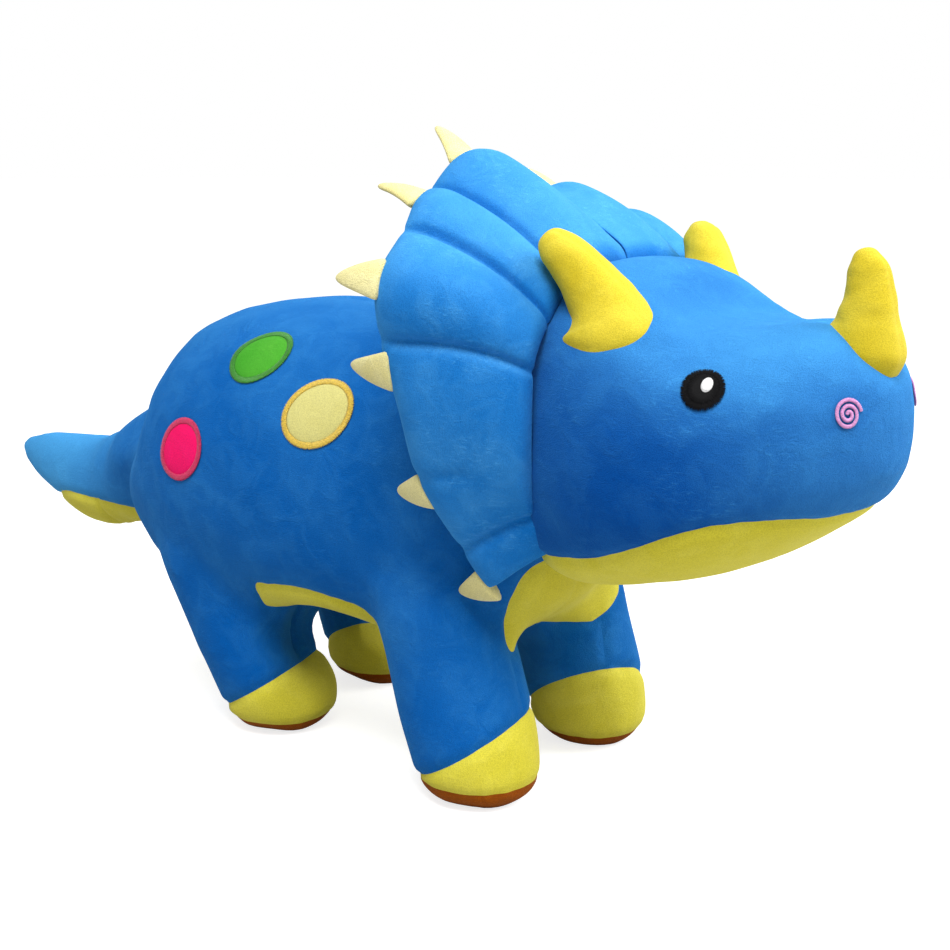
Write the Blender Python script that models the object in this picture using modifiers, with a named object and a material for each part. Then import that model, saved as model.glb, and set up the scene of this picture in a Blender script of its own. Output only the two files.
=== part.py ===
"""Stuffed three-horned dinosaur: sewn covers as thin shells over separate blocks of filling.

Metres, +Z up. The toy faces -Y, its own left side is +X and its soles rest on z = 0.
The origin is the middle of its footprint. The head and the tail turn about two ball-shaped seats,
one in the neck and one at the root of the tail.
"""

from math import cos, pi, radians, sin

import bmesh
import bpy
from mathutils import Matrix, Vector

# ---- driving dimensions ---------------------------------------------------------------
CLOTH = 0.0025  # thickness of a short-pile cover with its seam allowance
GAP = 0.0003  # clearance kept between neighbouring pieces
FILL_CLEAR = 0.0028  # clearance of the filling blocks from their covers
FELT = 0.0030  # thickness of a felt frill spike

NECK_PIVOT = Vector((0.0, -0.130, 0.160))
NECK_BALL = 0.060
TAIL_PIVOT = Vector((0.0, 0.178, 0.0995))
TAIL_BALL = 0.0275
JOINT_PLAY = 0.0005  # clearance between the tail's seat and the cup that turns on it
NECK_PLAY = 0.0018  # the same at the neck, whose larger facets need more
CHEST_FRONT = -0.1495  # the chest stops here, so that the nodding head clears it
TAIL_SWING = 0.0105  # bare length of the tail's seat, which the swinging tail needs

# Torso stations: y, top, bottom, half width.
TORSO = (
    (-0.152, 0.206, 0.092, 0.040),
    (-0.146, 0.210, 0.083, 0.050),
    (-0.130, 0.212, 0.069, 0.058),
    (-0.105, 0.207, 0.059, 0.068),
    (-0.060, 0.211, 0.050, 0.083),
    (-0.010, 0.2160, 0.045, 0.090),
    (0.045, 0.2135, 0.047, 0.090),
    (0.092, 0.1935, 0.058, 0.073),
    (0.132, 0.168, 0.068, 0.048),
    (0.160, 0.1440, 0.0715, 0.033),
    (0.178, 0.1265, 0.0735, 0.0265),
)

# Leg stations from the sole up: z, centre x, centre y, radius.
FRONT_LEG = (
    (-0.002, 0.0416, -0.1255, 0.0235),
    (0.008, 0.0416, -0.1250, 0.0280),
    (0.020, 0.0416, -0.1225, 0.0292),
    (0.045, 0.0418, -0.1140, 0.0305),
    (0.075, 0.0420, -0.1050, 0.0320),
    (0.105, 0.0420, -0.0960, 0.0330),
)
REAR_LEG = (
    (-0.002, 0.0363, 0.0160, 0.0235),
    (0.008, 0.0368, 0.0165, 0.0282),
    (0.020, 0.0380, 0.0180, 0.0296),
    (0.045, 0.0415, 0.0255, 0.0325),
    (0.075, 0.0455, 0.0370, 0.0360),
    (0.105, 0.0480, 0.0440, 0.0380),
)
SOLE_TOP = 0.0085
TOE_FRONT = 0.042  # height of the toe cap's edge at the front of a foot
TOE_HEEL = 0.0105  # and at its heel
LEG_SEAM = 0.0060  # how far outside a leg's middle its inner panel ends
LEG_TOP = 0.0460  # where the filling of a leg meets the filling of the torso

# Head stations: y, top, bottom, half width.
HEAD = (
    (-0.150, 0.206, 0.112, 0.040),
    (-0.158, 0.228, 0.105, 0.060),
    (-0.172, 0.2365, 0.1020, 0.071),
    (-0.195, 0.2360, 0.1025, 0.079),
    (-0.222, 0.2255, 0.1085, 0.079),
    (-0.246, 0.2145, 0.1190, 0.073),
    (-0.268, 0.2115, 0.1335, 0.057),
    (-0.286, 0.2060, 0.1460, 0.039),
    (-0.296, 0.1980, 0.1590, 0.023),
)
SNOUT_TIP = (-0.300, 0.176)

# Tail stations: y, top, bottom, half width.
TAIL = (
    (0.172, 0.1275, 0.0725, 0.0275),
    (0.190, 0.1215, 0.0695, 0.0250),
    (0.215, 0.1185, 0.0680, 0.0232),
    (0.245, 0.1175, 0.0740, 0.0195),
    (0.272, 0.1150, 0.0850, 0.0140),
    (0.290, 0.1100, 0.0940, 0.0078),
)
TAIL_TIP = (0.300, 0.1015)

# Seams seen from the side: (y, z) points, cloth below the line belongs to the lower panel.
BELLY_SEAM = (
    (-0.200, 0.126),
    (-0.160, 0.116),
    (-0.135, 0.098),
    (-0.100, 0.076),
    (-0.080, 0.0775),
    (-0.062, 0.0830),
    (-0.038, 0.0860),
    (-0.014, 0.0820),
    (0.030, 0.078),
    (0.090, 0.079),
    (0.140, 0.082),
    (0.220, 0.083),
)
JAW_SEAM = (
    (-0.120, 0.120),
    (-0.168, 0.1225),
    (-0.207, 0.1275),
    (-0.236, 0.1385),
    (-0.256, 0.1475),
    (-0.276, 0.1510),
    (-0.310, 0.1480),
)
TAIL_SEAM = (
    (0.150, 0.0820),
    (0.190, 0.0825),
    (0.232, 0.0835),
    (0.262, 0.0895),
    (0.286, 0.0975),
    (0.310, 0.1030),
)
# Belly panel seen from above: (y, half width).
BELLY_PLAN = (
    (-0.200, 0.046),
    (-0.145, 0.046),
    (-0.100, 0.045),
    (-0.086, 0.046),
    (-0.074, 0.062),
    (-0.060, 0.098),
    (-0.022, 0.098),
    (-0.010, 0.062),
    (0.000, 0.046),
    (0.072, 0.043),
    (0.110, 0.034),
    (0.220, 0.024),
)

# Frill stations from the crown to the lower corner: sewn edge, rim, fullness of the padding.
# Fullness is low on a quilting line and high between two of them.
FRILL = (
    ((0.000, -0.166, 0.2310), (0.0000, -0.1070, 0.2640), 0.45),
    ((0.025, -0.165, 0.2285), (0.0300, -0.1080, 0.2735), 0.85),
    ((0.043, -0.164, 0.2215), (0.0570, -0.1100, 0.2640), 0.45),
    ((0.054, -0.164, 0.2190), (0.0730, -0.1165, 0.2580), 0.80),
    ((0.060, -0.164, 0.2120), (0.0870, -0.1235, 0.2480), 0.45),
    ((0.067, -0.165, 0.2050), (0.1050, -0.1275, 0.2300), 0.95),
    ((0.071, -0.166, 0.1960), (0.1040, -0.1270, 0.2085), 0.45),
    ((0.073, -0.167, 0.1730), (0.0940, -0.1300, 0.1780), 1.00),
    ((0.071, -0.166, 0.1540), (0.0830, -0.1300, 0.1480), 0.90),
    ((0.063, -0.164, 0.1400), (0.0690, -0.1375, 0.1200), 0.50),
    ((0.050, -0.163, 0.1260), (0.0575, -0.1425, 0.1020), 0.70),
)
FRILL_PUFF = 0.0100  # half thickness at full padding
FRILL_EDGE = 0.0032  # half thickness at the rim
PAD_CLEAR = 0.0016  # clearance of the padding from the two panels
FRILL_ACROSS = 3  # rows of faces from the sewn edge to the rim

# Felt spikes along the rim: position counted in frill stations.
SPIKES = (1.15, 2.85, 5.05, 6.45, 8.15, 9.85)
SPIKE_BASE = 0.0160
SPIKE_LENGTH = 0.0150
SPIKE_INSET = 0.0010  # distance from the rim to a spike's base

# Horn stations: centre (x, y, z), half width across, half depth.
BROW_HORN = (
    ((0.0470, -0.1990, 0.2000), 0.0235, 0.0225),
    ((0.0475, -0.1975, 0.2090), 0.0220, 0.0210),
    ((0.0490, -0.1935, 0.2180), 0.0170, 0.0165),
    ((0.0503, -0.1860, 0.2290), 0.0125, 0.0120),
    ((0.0520, -0.1780, 0.2390), 0.0100, 0.0096),
    ((0.0532, -0.1730, 0.2460), 0.0064, 0.0064),
)
NOSE_HORN = (
    ((0.0, -0.2785, 0.1980), 0.0170, 0.0190),
    ((0.0, -0.2785, 0.2085), 0.0150, 0.0165),
    ((0.0, -0.2795, 0.2180), 0.0120, 0.0130),
    ((0.0, -0.2785, 0.2285), 0.0096, 0.0100),
    ((0.0, -0.2768, 0.2380), 0.0082, 0.0082),
    ((0.0, -0.2760, 0.2430), 0.0052, 0.0052),
)

# Sewn-on marks of the right side: name, centre, outward direction, half sizes, turn, material.
MARKS = (
    ("spot_green", (-0.070, -0.0175, 0.190), (-0.74, 0.0, 0.67), (0.0205, 0.0150), 24.0, "green"),
    ("spot_cream", (-0.0755, -0.060, 0.169), (-0.93, -0.12, 0.35), (0.0215, 0.0165), 24.0, "cream"),
    ("spot_pink", (-0.090, 0.017, 0.146), (-0.98, 0.12, 0.12), (0.0150, 0.0155), 12.0, "pink"),
)
EYE_CENTRE = (-0.0635, -0.2494, 0.1964)
EYE_OUT = (-0.84, -0.44, 0.32)
EYE_RADIUS = 0.0100
GLINT_RADIUS = 0.0028
GLINT_SHIFT = Vector((0.0, -0.0022, 0.0012))
CHEEK_CENTRE = (-0.0300, -0.2903, 0.1883)
CHEEK_OUT = (-0.68, -0.72, 0.15)
CHEEK_RADIUS = 0.0058
PATCH = 0.0012  # thickness of a sewn-on mark
MARK_SIDES = 14

FLAT = radians(0.2)  # neighbouring faces within this angle are joined where a cut split them
RING = 16  # points round a loft before it is subdivided
TORSO_FACES = 820  # triangles left on each soft form
HEAD_FACES = 500
TAIL_FACES = 180
COLOURS = {
    "blue": (0.002, 0.138, 0.470),
    "yellow": (0.740, 0.610, 0.045),
    "brown": (0.377, 0.067, 0.002),
    "felt": (0.800, 0.735, 0.320),
    "green": (0.081, 0.408, 0.029),
    "cream": (0.688, 0.642, 0.248),
    "pink": (0.985, 0.016, 0.178),
    "black": (0.004, 0.004, 0.005),
    "white": (0.800, 0.800, 0.780),
    "lilac": (0.620, 0.300, 0.520),
    "filling": (0.850, 0.850, 0.830),
}


# ---- scene ----------------------------------------------------------------------------
def clear_scene():
    for ob in list(bpy.data.objects):
        bpy.data.objects.remove(ob, do_unlink=True)


def new_collection(name):
    made = bpy.data.collections.new(name)
    bpy.context.scene.collection.children.link(made)
    return made


def new_material(name):
    made = bpy.data.materials.new(name)
    made.use_nodes = True
    shader = made.node_tree.nodes["Principled BSDF"]
    shader.inputs["Base Color"].default_value = (*COLOURS[name], 1.0)
    shader.inputs["Roughness"].default_value = 0.6 if name in ("black", "white") else 0.92
    shader.inputs["Metallic"].default_value = 0.0
    return made


def new_object(name, mesh, collection):
    made = bpy.data.objects.new(name, mesh)
    collection.objects.link(made)
    return made


def baked(ob, name):
    """A plain mesh object with the modifiers of ob applied; ob is removed."""
    graph = bpy.context.evaluated_depsgraph_get()
    mesh = bpy.data.meshes.new_from_object(ob.evaluated_get(graph))
    made = new_object(name, mesh, ob.users_collection[0])
    made.matrix_world = ob.matrix_world.copy()
    bpy.data.objects.remove(ob, do_unlink=True)
    return made


def copied(ob, name):
    return new_object(name, ob.data.copy(), ob.users_collection[0])


def mesh_of(name, points, faces, collection):
    mesh = bpy.data.meshes.new(name)
    mesh.from_pydata([tuple(p) for p in points], [], faces)
    mesh.update()
    return new_object(name, mesh, collection)


# ---- shapes ---------------------------------------------------------------------------
def spline(points, t):
    """Catmull-Rom through rows of numbers, t counted in rows."""
    last = len(points) - 1
    i = max(0, min(int(t), last - 1))
    f = t - i
    rows = [points[max(0, min(last, i + k))] for k in (-1, 0, 1, 2)]
    return [
        0.5 * (2 * b + (c - a) * f + (2 * a - 5 * b + 4 * c - d) * f**2 + (3 * b - a - 3 * c + d) * f**3)
        for a, b, c, d in zip(*rows)
    ]


def loft(name, rings, collection, tip=None, levels=1):
    """Closed solid through rings of equal length; a tip point may round off its last end."""
    count = len(rings[0])
    points = [p for ring in rings for p in ring]
    faces = []
    for r in range(len(rings) - 1):
        for k in range(count):
            n = (k + 1) % count
            faces.append((r * count + k, r * count + n, (r + 1) * count + n, (r + 1) * count + k))
    faces.append(tuple(reversed(range(count))))
    last = (len(rings) - 1) * count
    if tip is None:
        faces.append(tuple(range(last, last + count)))
    else:
        points.append(tip)
        faces += [(last + k, last + (k + 1) % count, len(points) - 1) for k in range(count)]
    made = mesh_of(name, points, faces, collection)
    outward(made)
    rounded = made.modifiers.new("rounded", "SUBSURF")
    rounded.levels = rounded.render_levels = levels
    return baked(made, name)


def outward(ob):
    bm = bmesh.new()
    bm.from_mesh(ob.data)
    bmesh.ops.recalc_face_normals(bm, faces=bm.faces)
    bm.to_mesh(ob.data)
    bm.free()


def section(y, top, bottom, half, power=2.3):
    """A soft-cornered oval across the body at y."""
    middle, tall = (top + bottom) / 2, (top - bottom) / 2
    ring = []
    for k in range(RING):
        a = 2 * pi * (k + 0.5) / RING
        c, s = cos(a), sin(a)
        ring.append(
            (half * abs(c) ** (2 / power) * (1 if c > 0 else -1), y,
             middle + tall * abs(s) ** (2 / power) * (1 if s > 0 else -1))
        )
    return ring


def leg(name, stations, side, collection, count=RING, levels=1):
    rings = [
        [
            (side * x + r * cos(2 * pi * k / count), y + r * sin(2 * pi * k / count), z)
            for k in range(count)
        ]
        for z, x, y, r in stations
    ]
    return loft(name, rings, collection, levels=levels)


def ball(name, centre, radius, collection, segments=20):
    mesh = bpy.data.meshes.new(name)
    bm = bmesh.new()
    bmesh.ops.create_uvsphere(bm, u_segments=segments, v_segments=segments // 2, radius=radius)
    bmesh.ops.translate(bm, verts=bm.verts, vec=centre)
    bm.to_mesh(mesh)
    bm.free()
    return new_object(name, mesh, collection)


def box(name, low, high, collection):
    mesh = bpy.data.meshes.new(name)
    bm = bmesh.new()
    bmesh.ops.create_cube(bm, size=1.0)
    low, high = Vector(low), Vector(high)
    for v in bm.verts:
        v.co = Vector([(low[i] + high[i]) / 2 + v.co[i] * (high[i] - low[i]) for i in range(3)])
    bm.to_mesh(mesh)
    bm.free()
    return new_object(name, mesh, collection)


def prism(name, outline, place, depth, collection):
    """A flat outline given thickness: a filled 2D curve, made a welded mesh and put in place."""
    curve = bpy.data.curves.new(name, "CURVE")
    curve.dimensions = "2D"
    curve.fill_mode = "BOTH"
    curve.extrude = depth / 2
    line = curve.splines.new("POLY")
    line.points.add(len(outline) - 1)
    for point, (u, v) in zip(line.points, outline):
        point.co = (u, v, 0.0, 1.0)
    line.use_cyclic_u = True
    flat = new_object(name, curve, collection)
    made = baked(flat, name)
    bm = bmesh.new()
    bm.from_mesh(made.data)
    bmesh.ops.remove_doubles(bm, verts=bm.verts, dist=1e-6)
    bmesh.ops.transform(bm, matrix=place, verts=bm.verts)
    bmesh.ops.recalc_face_normals(bm, faces=bm.faces)
    bm.to_mesh(made.data)
    bm.free()
    return made


def below(name, seam, rise, collection):
    """Everything under a seam line seen from the side, raised by rise."""
    steps = 2 * (len(seam) - 1)
    line = [spline(seam, k / 2) for k in range(steps + 1)]
    outline = [(y, z + rise) for y, z in line] + [(line[-1][0], -0.05), (line[0][0], -0.05)]
    side_on = Matrix(((0, 0, 1, 0), (1, 0, 0, 0), (0, 1, 0, 0), (0, 0, 0, 1)))
    return prism(name, outline, side_on, 0.4, collection)


def within(name, plan, grow, collection):
    """Everything inside a half-width plan seen from above, widened by grow."""
    steps = 2 * (len(plan) - 1)
    line = [spline(plan, k / 2) for k in range(steps + 1)]
    outline = [(w + grow, y) for y, w in line] + [(-w - grow, y) for y, w in reversed(line)]
    return prism(name, outline, Matrix.Identity(4), 0.8, collection)


def cut(ob, tool, how="DIFFERENCE"):
    """ob cut by tool, intersected with it or joined to it."""
    change = ob.modifiers.new("cut", "BOOLEAN")
    change.operation = how
    change.object = tool
    change.solver = "EXACT"
    return baked(ob, ob.name)


def thinned(form):
    """A copy of a form with fewer faces."""
    core = copied(form, "core")
    thin = core.modifiers.new("thin", "DECIMATE")
    thin.ratio = 0.7
    return baked(core, "core")


def moved_out(ob, name, distance):
    """A copy of ob with every point moved along its normal."""
    made = copied(ob, name)
    normals = [v.normal.copy() for v in made.data.vertices]
    for v, n in zip(made.data.vertices, normals):
        v.co += n * distance
    made.data.update()
    return made


def blended(ob, voxel, faces):
    """One soft skin over joined lofts: remeshed, smoothed, thinned out and made symmetric."""
    skin = ob.modifiers.new("skin", "REMESH")
    skin.mode = "VOXEL"
    skin.voxel_size = voxel
    soft = ob.modifiers.new("soft", "SMOOTH")
    soft.factor = 0.5
    soft.iterations = 6
    ob = baked(ob, ob.name)
    thin = ob.modifiers.new("thin", "DECIMATE")
    thin.ratio = min(1.0, faces / (2 * len(ob.data.polygons)))
    return mirrored_half(ob)


def mirrored_half(ob, snap=0.001):
    """The right half of ob and its mirror image as one body; snap pulls points onto the middle."""
    halves = ob.modifiers.new("halves", "MIRROR")
    halves.use_axis = (True, False, False)
    halves.use_bisect_axis = (True, False, False)
    halves.use_bisect_flip_axis = (True, False, False)
    halves.merge_threshold = 0.0001
    halves.bisect_threshold = snap
    return baked(ob, ob.name)


def split_mirror(ob, name):
    """The same piece on the other side of x = 0."""
    made = copied(ob, name)
    for v in made.data.vertices:
        v.co.x = -v.co.x
    made.data.flip_normals()
    return made


def tidy(ob):
    """Weld the slivers that cutting leaves and join flat neighbours into triangles again."""
    bm = bmesh.new()
    bm.from_mesh(ob.data)
    bmesh.ops.remove_doubles(bm, verts=bm.verts, dist=2e-5)
    bmesh.ops.dissolve_degenerate(bm, edges=bm.edges, dist=2e-5)
    bmesh.ops.dissolve_limit(bm, angle_limit=FLAT, verts=bm.verts, edges=bm.edges)
    bmesh.ops.triangulate(bm, faces=bm.faces)
    bm.to_mesh(ob.data)
    bm.free()
    return ob


class Toy:
    """Holds the finished pieces, the helper shapes and the materials."""

    def __init__(self):
        self.parts = new_collection("stuffed_dinosaur")
        self.tools = new_collection("cutters")
        self.materials = {name: new_material(name) for name in COLOURS}

    def keep(self, ob, name, material, pivot):
        """Finish a piece: its name, material and an origin on its body's pivot."""
        ob = tidy(ob)
        ob.name = name
        ob.data.name = name
        ob.data.materials.clear()
        ob.data.materials.append(self.materials[material])
        ob.data.transform(Matrix.Translation(-pivot.location))
        ob.parent = pivot
        for holder in ob.users_collection:
            holder.objects.unlink(ob)
        self.parts.objects.link(ob)
        ob.data.shade_smooth()
        return ob

    def keep_pair(self, ob, name, material, pivot):
        """Finish a right-hand piece and its mirrored twin."""
        twin = split_mirror(ob, name + "_left")
        self.keep(ob, name + "_right", material, pivot)
        self.keep(twin, name + "_left", material, pivot)

    def pivot(self, name, place):
        made = bpy.data.objects.new(name, None)
        made.location = place
        made.empty_display_size = 0.03
        self.parts.objects.link(made)
        return made


# ---- torso and legs -------------------------------------------------------------------
def torso_skin(toy):
    """The soft skin over the torso loft and the four legs."""
    form = loft("torso", [section(*row) for row in TORSO], toy.tools)
    for side in (-1, 1):
        for stations in (FRONT_LEG, REAR_LEG):
            limb = leg("limb", stations, side, toy.tools)
            form = cut(form, limb, "UNION")
            bpy.data.objects.remove(limb, do_unlink=True)
    return blended(form, 0.005, TORSO_FACES)


def torso_form(toy, skin, inset):
    """The torso with its flat ends and ball seats, every face inset by the same amount."""
    form = moved_out(skin, "form", -inset)
    low, high, ground = CHEST_FRONT + inset, TAIL_PIVOT.y - inset, inset
    for corners in (
        ((-0.2, -0.3, -0.1), (0.2, low, 0.3)),
        ((-0.2, high, -0.1), (0.2, 0.3, 0.3)),
        ((-0.3, -0.4, -0.1), (0.3, 0.4, ground)),
    ):
        end = box("end", *corners, toy.tools)
        form = cut(form, end)
        bpy.data.objects.remove(end, do_unlink=True)
    for centre, radius in ((NECK_PIVOT, NECK_BALL), (TAIL_PIVOT, TAIL_BALL)):
        seat = ball("seat", centre, radius - inset, toy.tools)
        form = cut(form, seat, "UNION")
        bpy.data.objects.remove(seat, do_unlink=True)
    return tidy(form)


def foot_tool(toy, stations, rise, low):
    """Block round the right foot whose slanted top follows the toe cap's edge."""
    x, y = -stations[1][1], stations[1][2]
    reach = stations[2][3] + 0.0024
    slope = (TOE_FRONT - TOE_HEEL) / (2 * stations[2][3])
    middle = (TOE_FRONT + TOE_HEEL) / 2 + rise
    made = box("foot", (x - reach, y - reach, low), (x + reach, y + reach, middle), toy.tools)
    for v in made.data.vertices:
        if v.co.z > middle - 1e-5:
            v.co.z = middle - slope * (v.co.y - y)
    return made


def inner_tool(toy, stations, grow):
    """The inner half of the right leg's tube, leaning with the leg."""
    rows = [(z, x, y, r + 0.004 + grow) for z, x, y, r in stations[:-1]]
    rows[0] = (-0.03, *rows[0][1:3], rows[1][3])
    top = rows[-1]
    rows[-1] = (top[0] + grow, *top[1:])
    tube = leg("tube", rows, -1, toy.tools, count=12, levels=0)
    half = box("half", (-stations[3][1] - LEG_SEAM - grow, -0.3, -0.1), (0.1, 0.3, 0.2), toy.tools)
    tube = cut(tube, half, "INTERSECT")
    bpy.data.objects.remove(half, do_unlink=True)
    return tube


def build_torso(toy, root):
    skin = torso_skin(toy)
    form = torso_form(toy, skin, 0.0)
    shell = cut(copied(form, "shell"), torso_form(toy, skin, CLOTH))
    right = box("right", (-0.3, -0.4, -0.1), (-GAP / 2, 0.4, 0.4), toy.tools)
    cover = cut(copied(shell, "cover"), right, "INTERSECT")

    for place, stations in (("front", FRONT_LEG), ("rear", REAR_LEG)):
        ground = box("ground", (-0.2, -0.3, -0.1), (0.2, 0.3, SOLE_TOP), toy.tools)
        foot = foot_tool(toy, stations, 0.0, -0.1)
        sole = cut(cut(copied(cover, "sole"), foot, "INTERSECT"), ground, "INTERSECT")
        toy.keep_pair(sole, place + "_sole", "brown", root)
        above = box("above", (-0.2, -0.3, SOLE_TOP + GAP), (0.2, 0.3, 0.3), toy.tools)
        cap = cut(cut(copied(cover, "cap"), foot, "INTERSECT"), above, "INTERSECT")
        toy.keep_pair(cap, place + "_toe_cap", "yellow", root)
        cover = cut(cover, foot_tool(toy, stations, GAP, -0.1))
        inner = cut(copied(cover, "inner"), inner_tool(toy, stations, 0.0), "INTERSECT")
        toy.keep_pair(inner, place + "_inner_leg", "blue", root)
        cover = cut(cover, inner_tool(toy, stations, GAP))

    def lower(grow):
        under = below("lower", BELLY_SEAM, grow, toy.tools)
        return cut(under, within("plan", BELLY_PLAN, grow, toy.tools), "INTERSECT")

    toy.keep_pair(cut(cover, lower(GAP)), "torso_side", "blue", root)

    past_middle = box("past_middle", (-0.3, -0.4, -0.1), (0.004, 0.4, 0.4), toy.tools)
    belly = cut(shell, past_middle, "INTERSECT")
    for stations in (FRONT_LEG, REAR_LEG):
        belly = cut(cut(belly, inner_tool(toy, stations, GAP)), foot_tool(toy, stations, GAP, -0.1))
    belly = mirrored_half(cut(belly, lower(0.0), "INTERSECT"), snap=0.00001)
    toy.keep(belly, "belly_panel", "yellow", root)

    core = torso_form(toy, thinned(skin), CLOTH + FILL_CLEAR)
    for place, low, high in (("front", -0.2, -0.06), ("rear", -0.06, 0.1)):
        corner = box("corner", (-0.1, low, -0.1), (0.0, high, LEG_TOP), toy.tools)
        toy.keep_pair(cut(copied(core, "fill"), corner, "INTERSECT"), place + "_leg_filling", "filling", root)
    legs = box("legs", (-0.1, -0.2, -0.1), (0.1, 0.1, LEG_TOP + GAP), toy.tools)
    core = cut(core, legs)
    toy.keep(core, "torso_filling", "filling", root)
    return form


# ---- tail -----------------------------------------------------------------------------
def build_tail(toy, pivot):
    rings = [section(*row, power=2.1) for row in TAIL]
    form = loft("tail", rings, toy.tools, tip=(0.0, *TAIL_TIP))
    form = blended(form, 0.003, TAIL_FACES)
    lining = moved_out(form, "lining", -CLOTH)
    seat = ball("seat", TAIL_PIVOT, TAIL_BALL + JOINT_PLAY, toy.tools)
    shell = cut(cut(copied(form, "shell"), lining), seat)
    core = cut(moved_out(thinned(form), "core", -CLOTH - FILL_CLEAR), seat)
    ahead = box("ahead", (-0.2, -0.1, -0.1), (0.2, TAIL_PIVOT.y + TAIL_SWING, 0.3), toy.tools)
    shell, core = cut(shell, ahead), cut(core, ahead)
    back = cut(copied(shell, "back"), below("under", TAIL_SEAM, GAP, toy.tools))
    under = cut(shell, below("under", TAIL_SEAM, 0.0, toy.tools), "INTERSECT")
    toy.keep(back, "tail_back_panel", "blue", pivot)
    toy.keep(under, "tail_under_panel", "yellow", pivot)
    toy.keep(core, "tail_filling", "filling", pivot)


# ---- head -----------------------------------------------------------------------------
def build_head(toy, pivot):
    rings = [section(*row, power=2.6) for row in HEAD]
    form = loft("head", rings, toy.tools, tip=(0.0, *SNOUT_TIP))
    form = blended(form, 0.005, HEAD_FACES)
    lining = moved_out(form, "lining", -CLOTH)
    seat = ball("seat", NECK_PIVOT, NECK_BALL + NECK_PLAY, toy.tools)
    shell = cut(cut(copied(form, "shell"), lining), seat)
    core = cut(moved_out(thinned(form), "core", -CLOTH - FILL_CLEAR), seat)
    behind = box("behind", (-0.2, -0.152, -0.1), (0.2, 0.1, 0.4), toy.tools)
    shell, core = cut(shell, behind), cut(core, behind)
    right = box("right", (-0.3, -0.5, -0.1), (-GAP / 2, 0.4, 0.4), toy.tools)
    side = cut(cut(copied(shell, "side"), below("lower", JAW_SEAM, GAP, toy.tools)), right, "INTERSECT")
    jaw = cut(shell, below("lower", JAW_SEAM, 0.0, toy.tools), "INTERSECT")
    toy.keep_pair(side, "head_side", "blue", pivot)
    toy.keep(jaw, "jaw_panel", "yellow", pivot)
    toy.keep(core, "head_filling", "filling", pivot)
    return form


def build_horn(toy, form, stations):
    """A tapering cover, open at the head, and its filling."""

    def horn_loft(label, shrink):
        rings = []
        for i, (centre, across, deep) in enumerate(stations):
            low = Vector(stations[max(0, i - 1)][0])
            high = Vector(stations[min(len(stations) - 1, i + 1)][0])
            axis = (high - low).normalized()
            cross = axis.cross(Vector((0, -1, 0))).normalized()
            cross = cross if cross.x > 0 else -cross
            front = cross.cross(axis)
            ring = [
                Vector(centre) + cross * (across - shrink) * cos(2 * pi * k / 10)
                + front * (deep - shrink) * sin(2 * pi * k / 10)
                for k in range(10)
            ]
            rings.append([tuple(p) for p in ring])
        reach = (Vector(stations[-1][0]) - Vector(stations[-2][0])).normalized() * (0.0035 - shrink)
        tip = Vector(stations[-1][0]) + reach
        made = loft(label, rings, toy.tools, tip=tuple(tip))
        thin = made.modifiers.new("thin", "DECIMATE")
        thin.ratio = 0.40
        return baked(made, label)

    seat = moved_out(form, "seat", GAP)
    cover = horn_loft("cover", 0.0)
    cover = cut(cut(cover, horn_loft("hollow", CLOTH)), seat)
    core = cut(horn_loft("core", CLOTH + 3 * GAP), seat)
    return cover, core


# ---- frill ----------------------------------------------------------------------------
def frill_point(t, v, offset):
    """A point of the frill: t along it from the crown, v from the sewn edge to the rim."""
    side = -1 if t < 0 else 1

    def middle(s, w):
        row = spline([(*a, *b) for a, b, _ in FRILL], abs(s))
        inner, outer = Vector(row[:3]), Vector(row[3:])
        sweep = sin(pi * w) * 0.004
        return inner.lerp(outer, w) + Vector((0, -sweep, sweep))

    top = len(FRILL) - 1
    here = middle(t, v)
    along = middle(min(abs(t) + 0.05, top), v) - middle(max(abs(t) - 0.05, 0.0), v)
    across = middle(t, min(v + 0.05, 1.0)) - middle(t, max(v - 0.05, 0.0))
    normal = along.cross(across).normalized()
    normal = normal if normal.y < 0 else -normal
    p = here + normal * offset
    if abs(t) < 1e-6:
        p.x = 0.0
    return Vector((side * p.x, p.y, p.z))


def frill_fullness(t, v):
    puff = spline([(row[2],) for row in FRILL], abs(t))[0]
    swell = sin(pi * min(1.0, 0.18 + 0.82 * v)) ** 0.7
    return FRILL_EDGE + (FRILL_PUFF * puff - FRILL_EDGE) * swell


def frill_layer(toy, name, outer, inner, reach):
    """A closed slab between two offsets of the frill's middle surface."""
    top = len(FRILL) - 1
    steps = 2 * top
    columns = [top * k / steps for k in range(-steps, steps + 1)]
    rows = [reach * k / FRILL_ACROSS for k in range(FRILL_ACROSS + 1)]
    points = [frill_point(t, v, outer(t, v)) for t in columns for v in rows]
    points += [frill_point(t, v, inner(t, v)) for t in columns for v in rows]
    wide, half = len(rows), len(columns) * len(rows)
    faces = []
    for c in range(len(columns) - 1):
        for r in range(len(rows) - 1):
            quad = [c * wide + r, c * wide + r + 1, (c + 1) * wide + r + 1, (c + 1) * wide + r]
            faces.append(quad)
            faces.append([half + i for i in reversed(quad)])
    border = [c * wide for c in range(len(columns))]
    border += [(len(columns) - 1) * wide + r for r in range(1, len(rows))]
    border += [c * wide + len(rows) - 1 for c in reversed(range(len(columns) - 1))]
    border += [r for r in reversed(range(1, len(rows) - 1))]
    for a, b in zip(border, border[1:] + border[:1]):
        faces.append([a, b, half + b, half + a])
    made = mesh_of(name, points, faces, toy.tools)
    outward(made)
    return made


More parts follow.
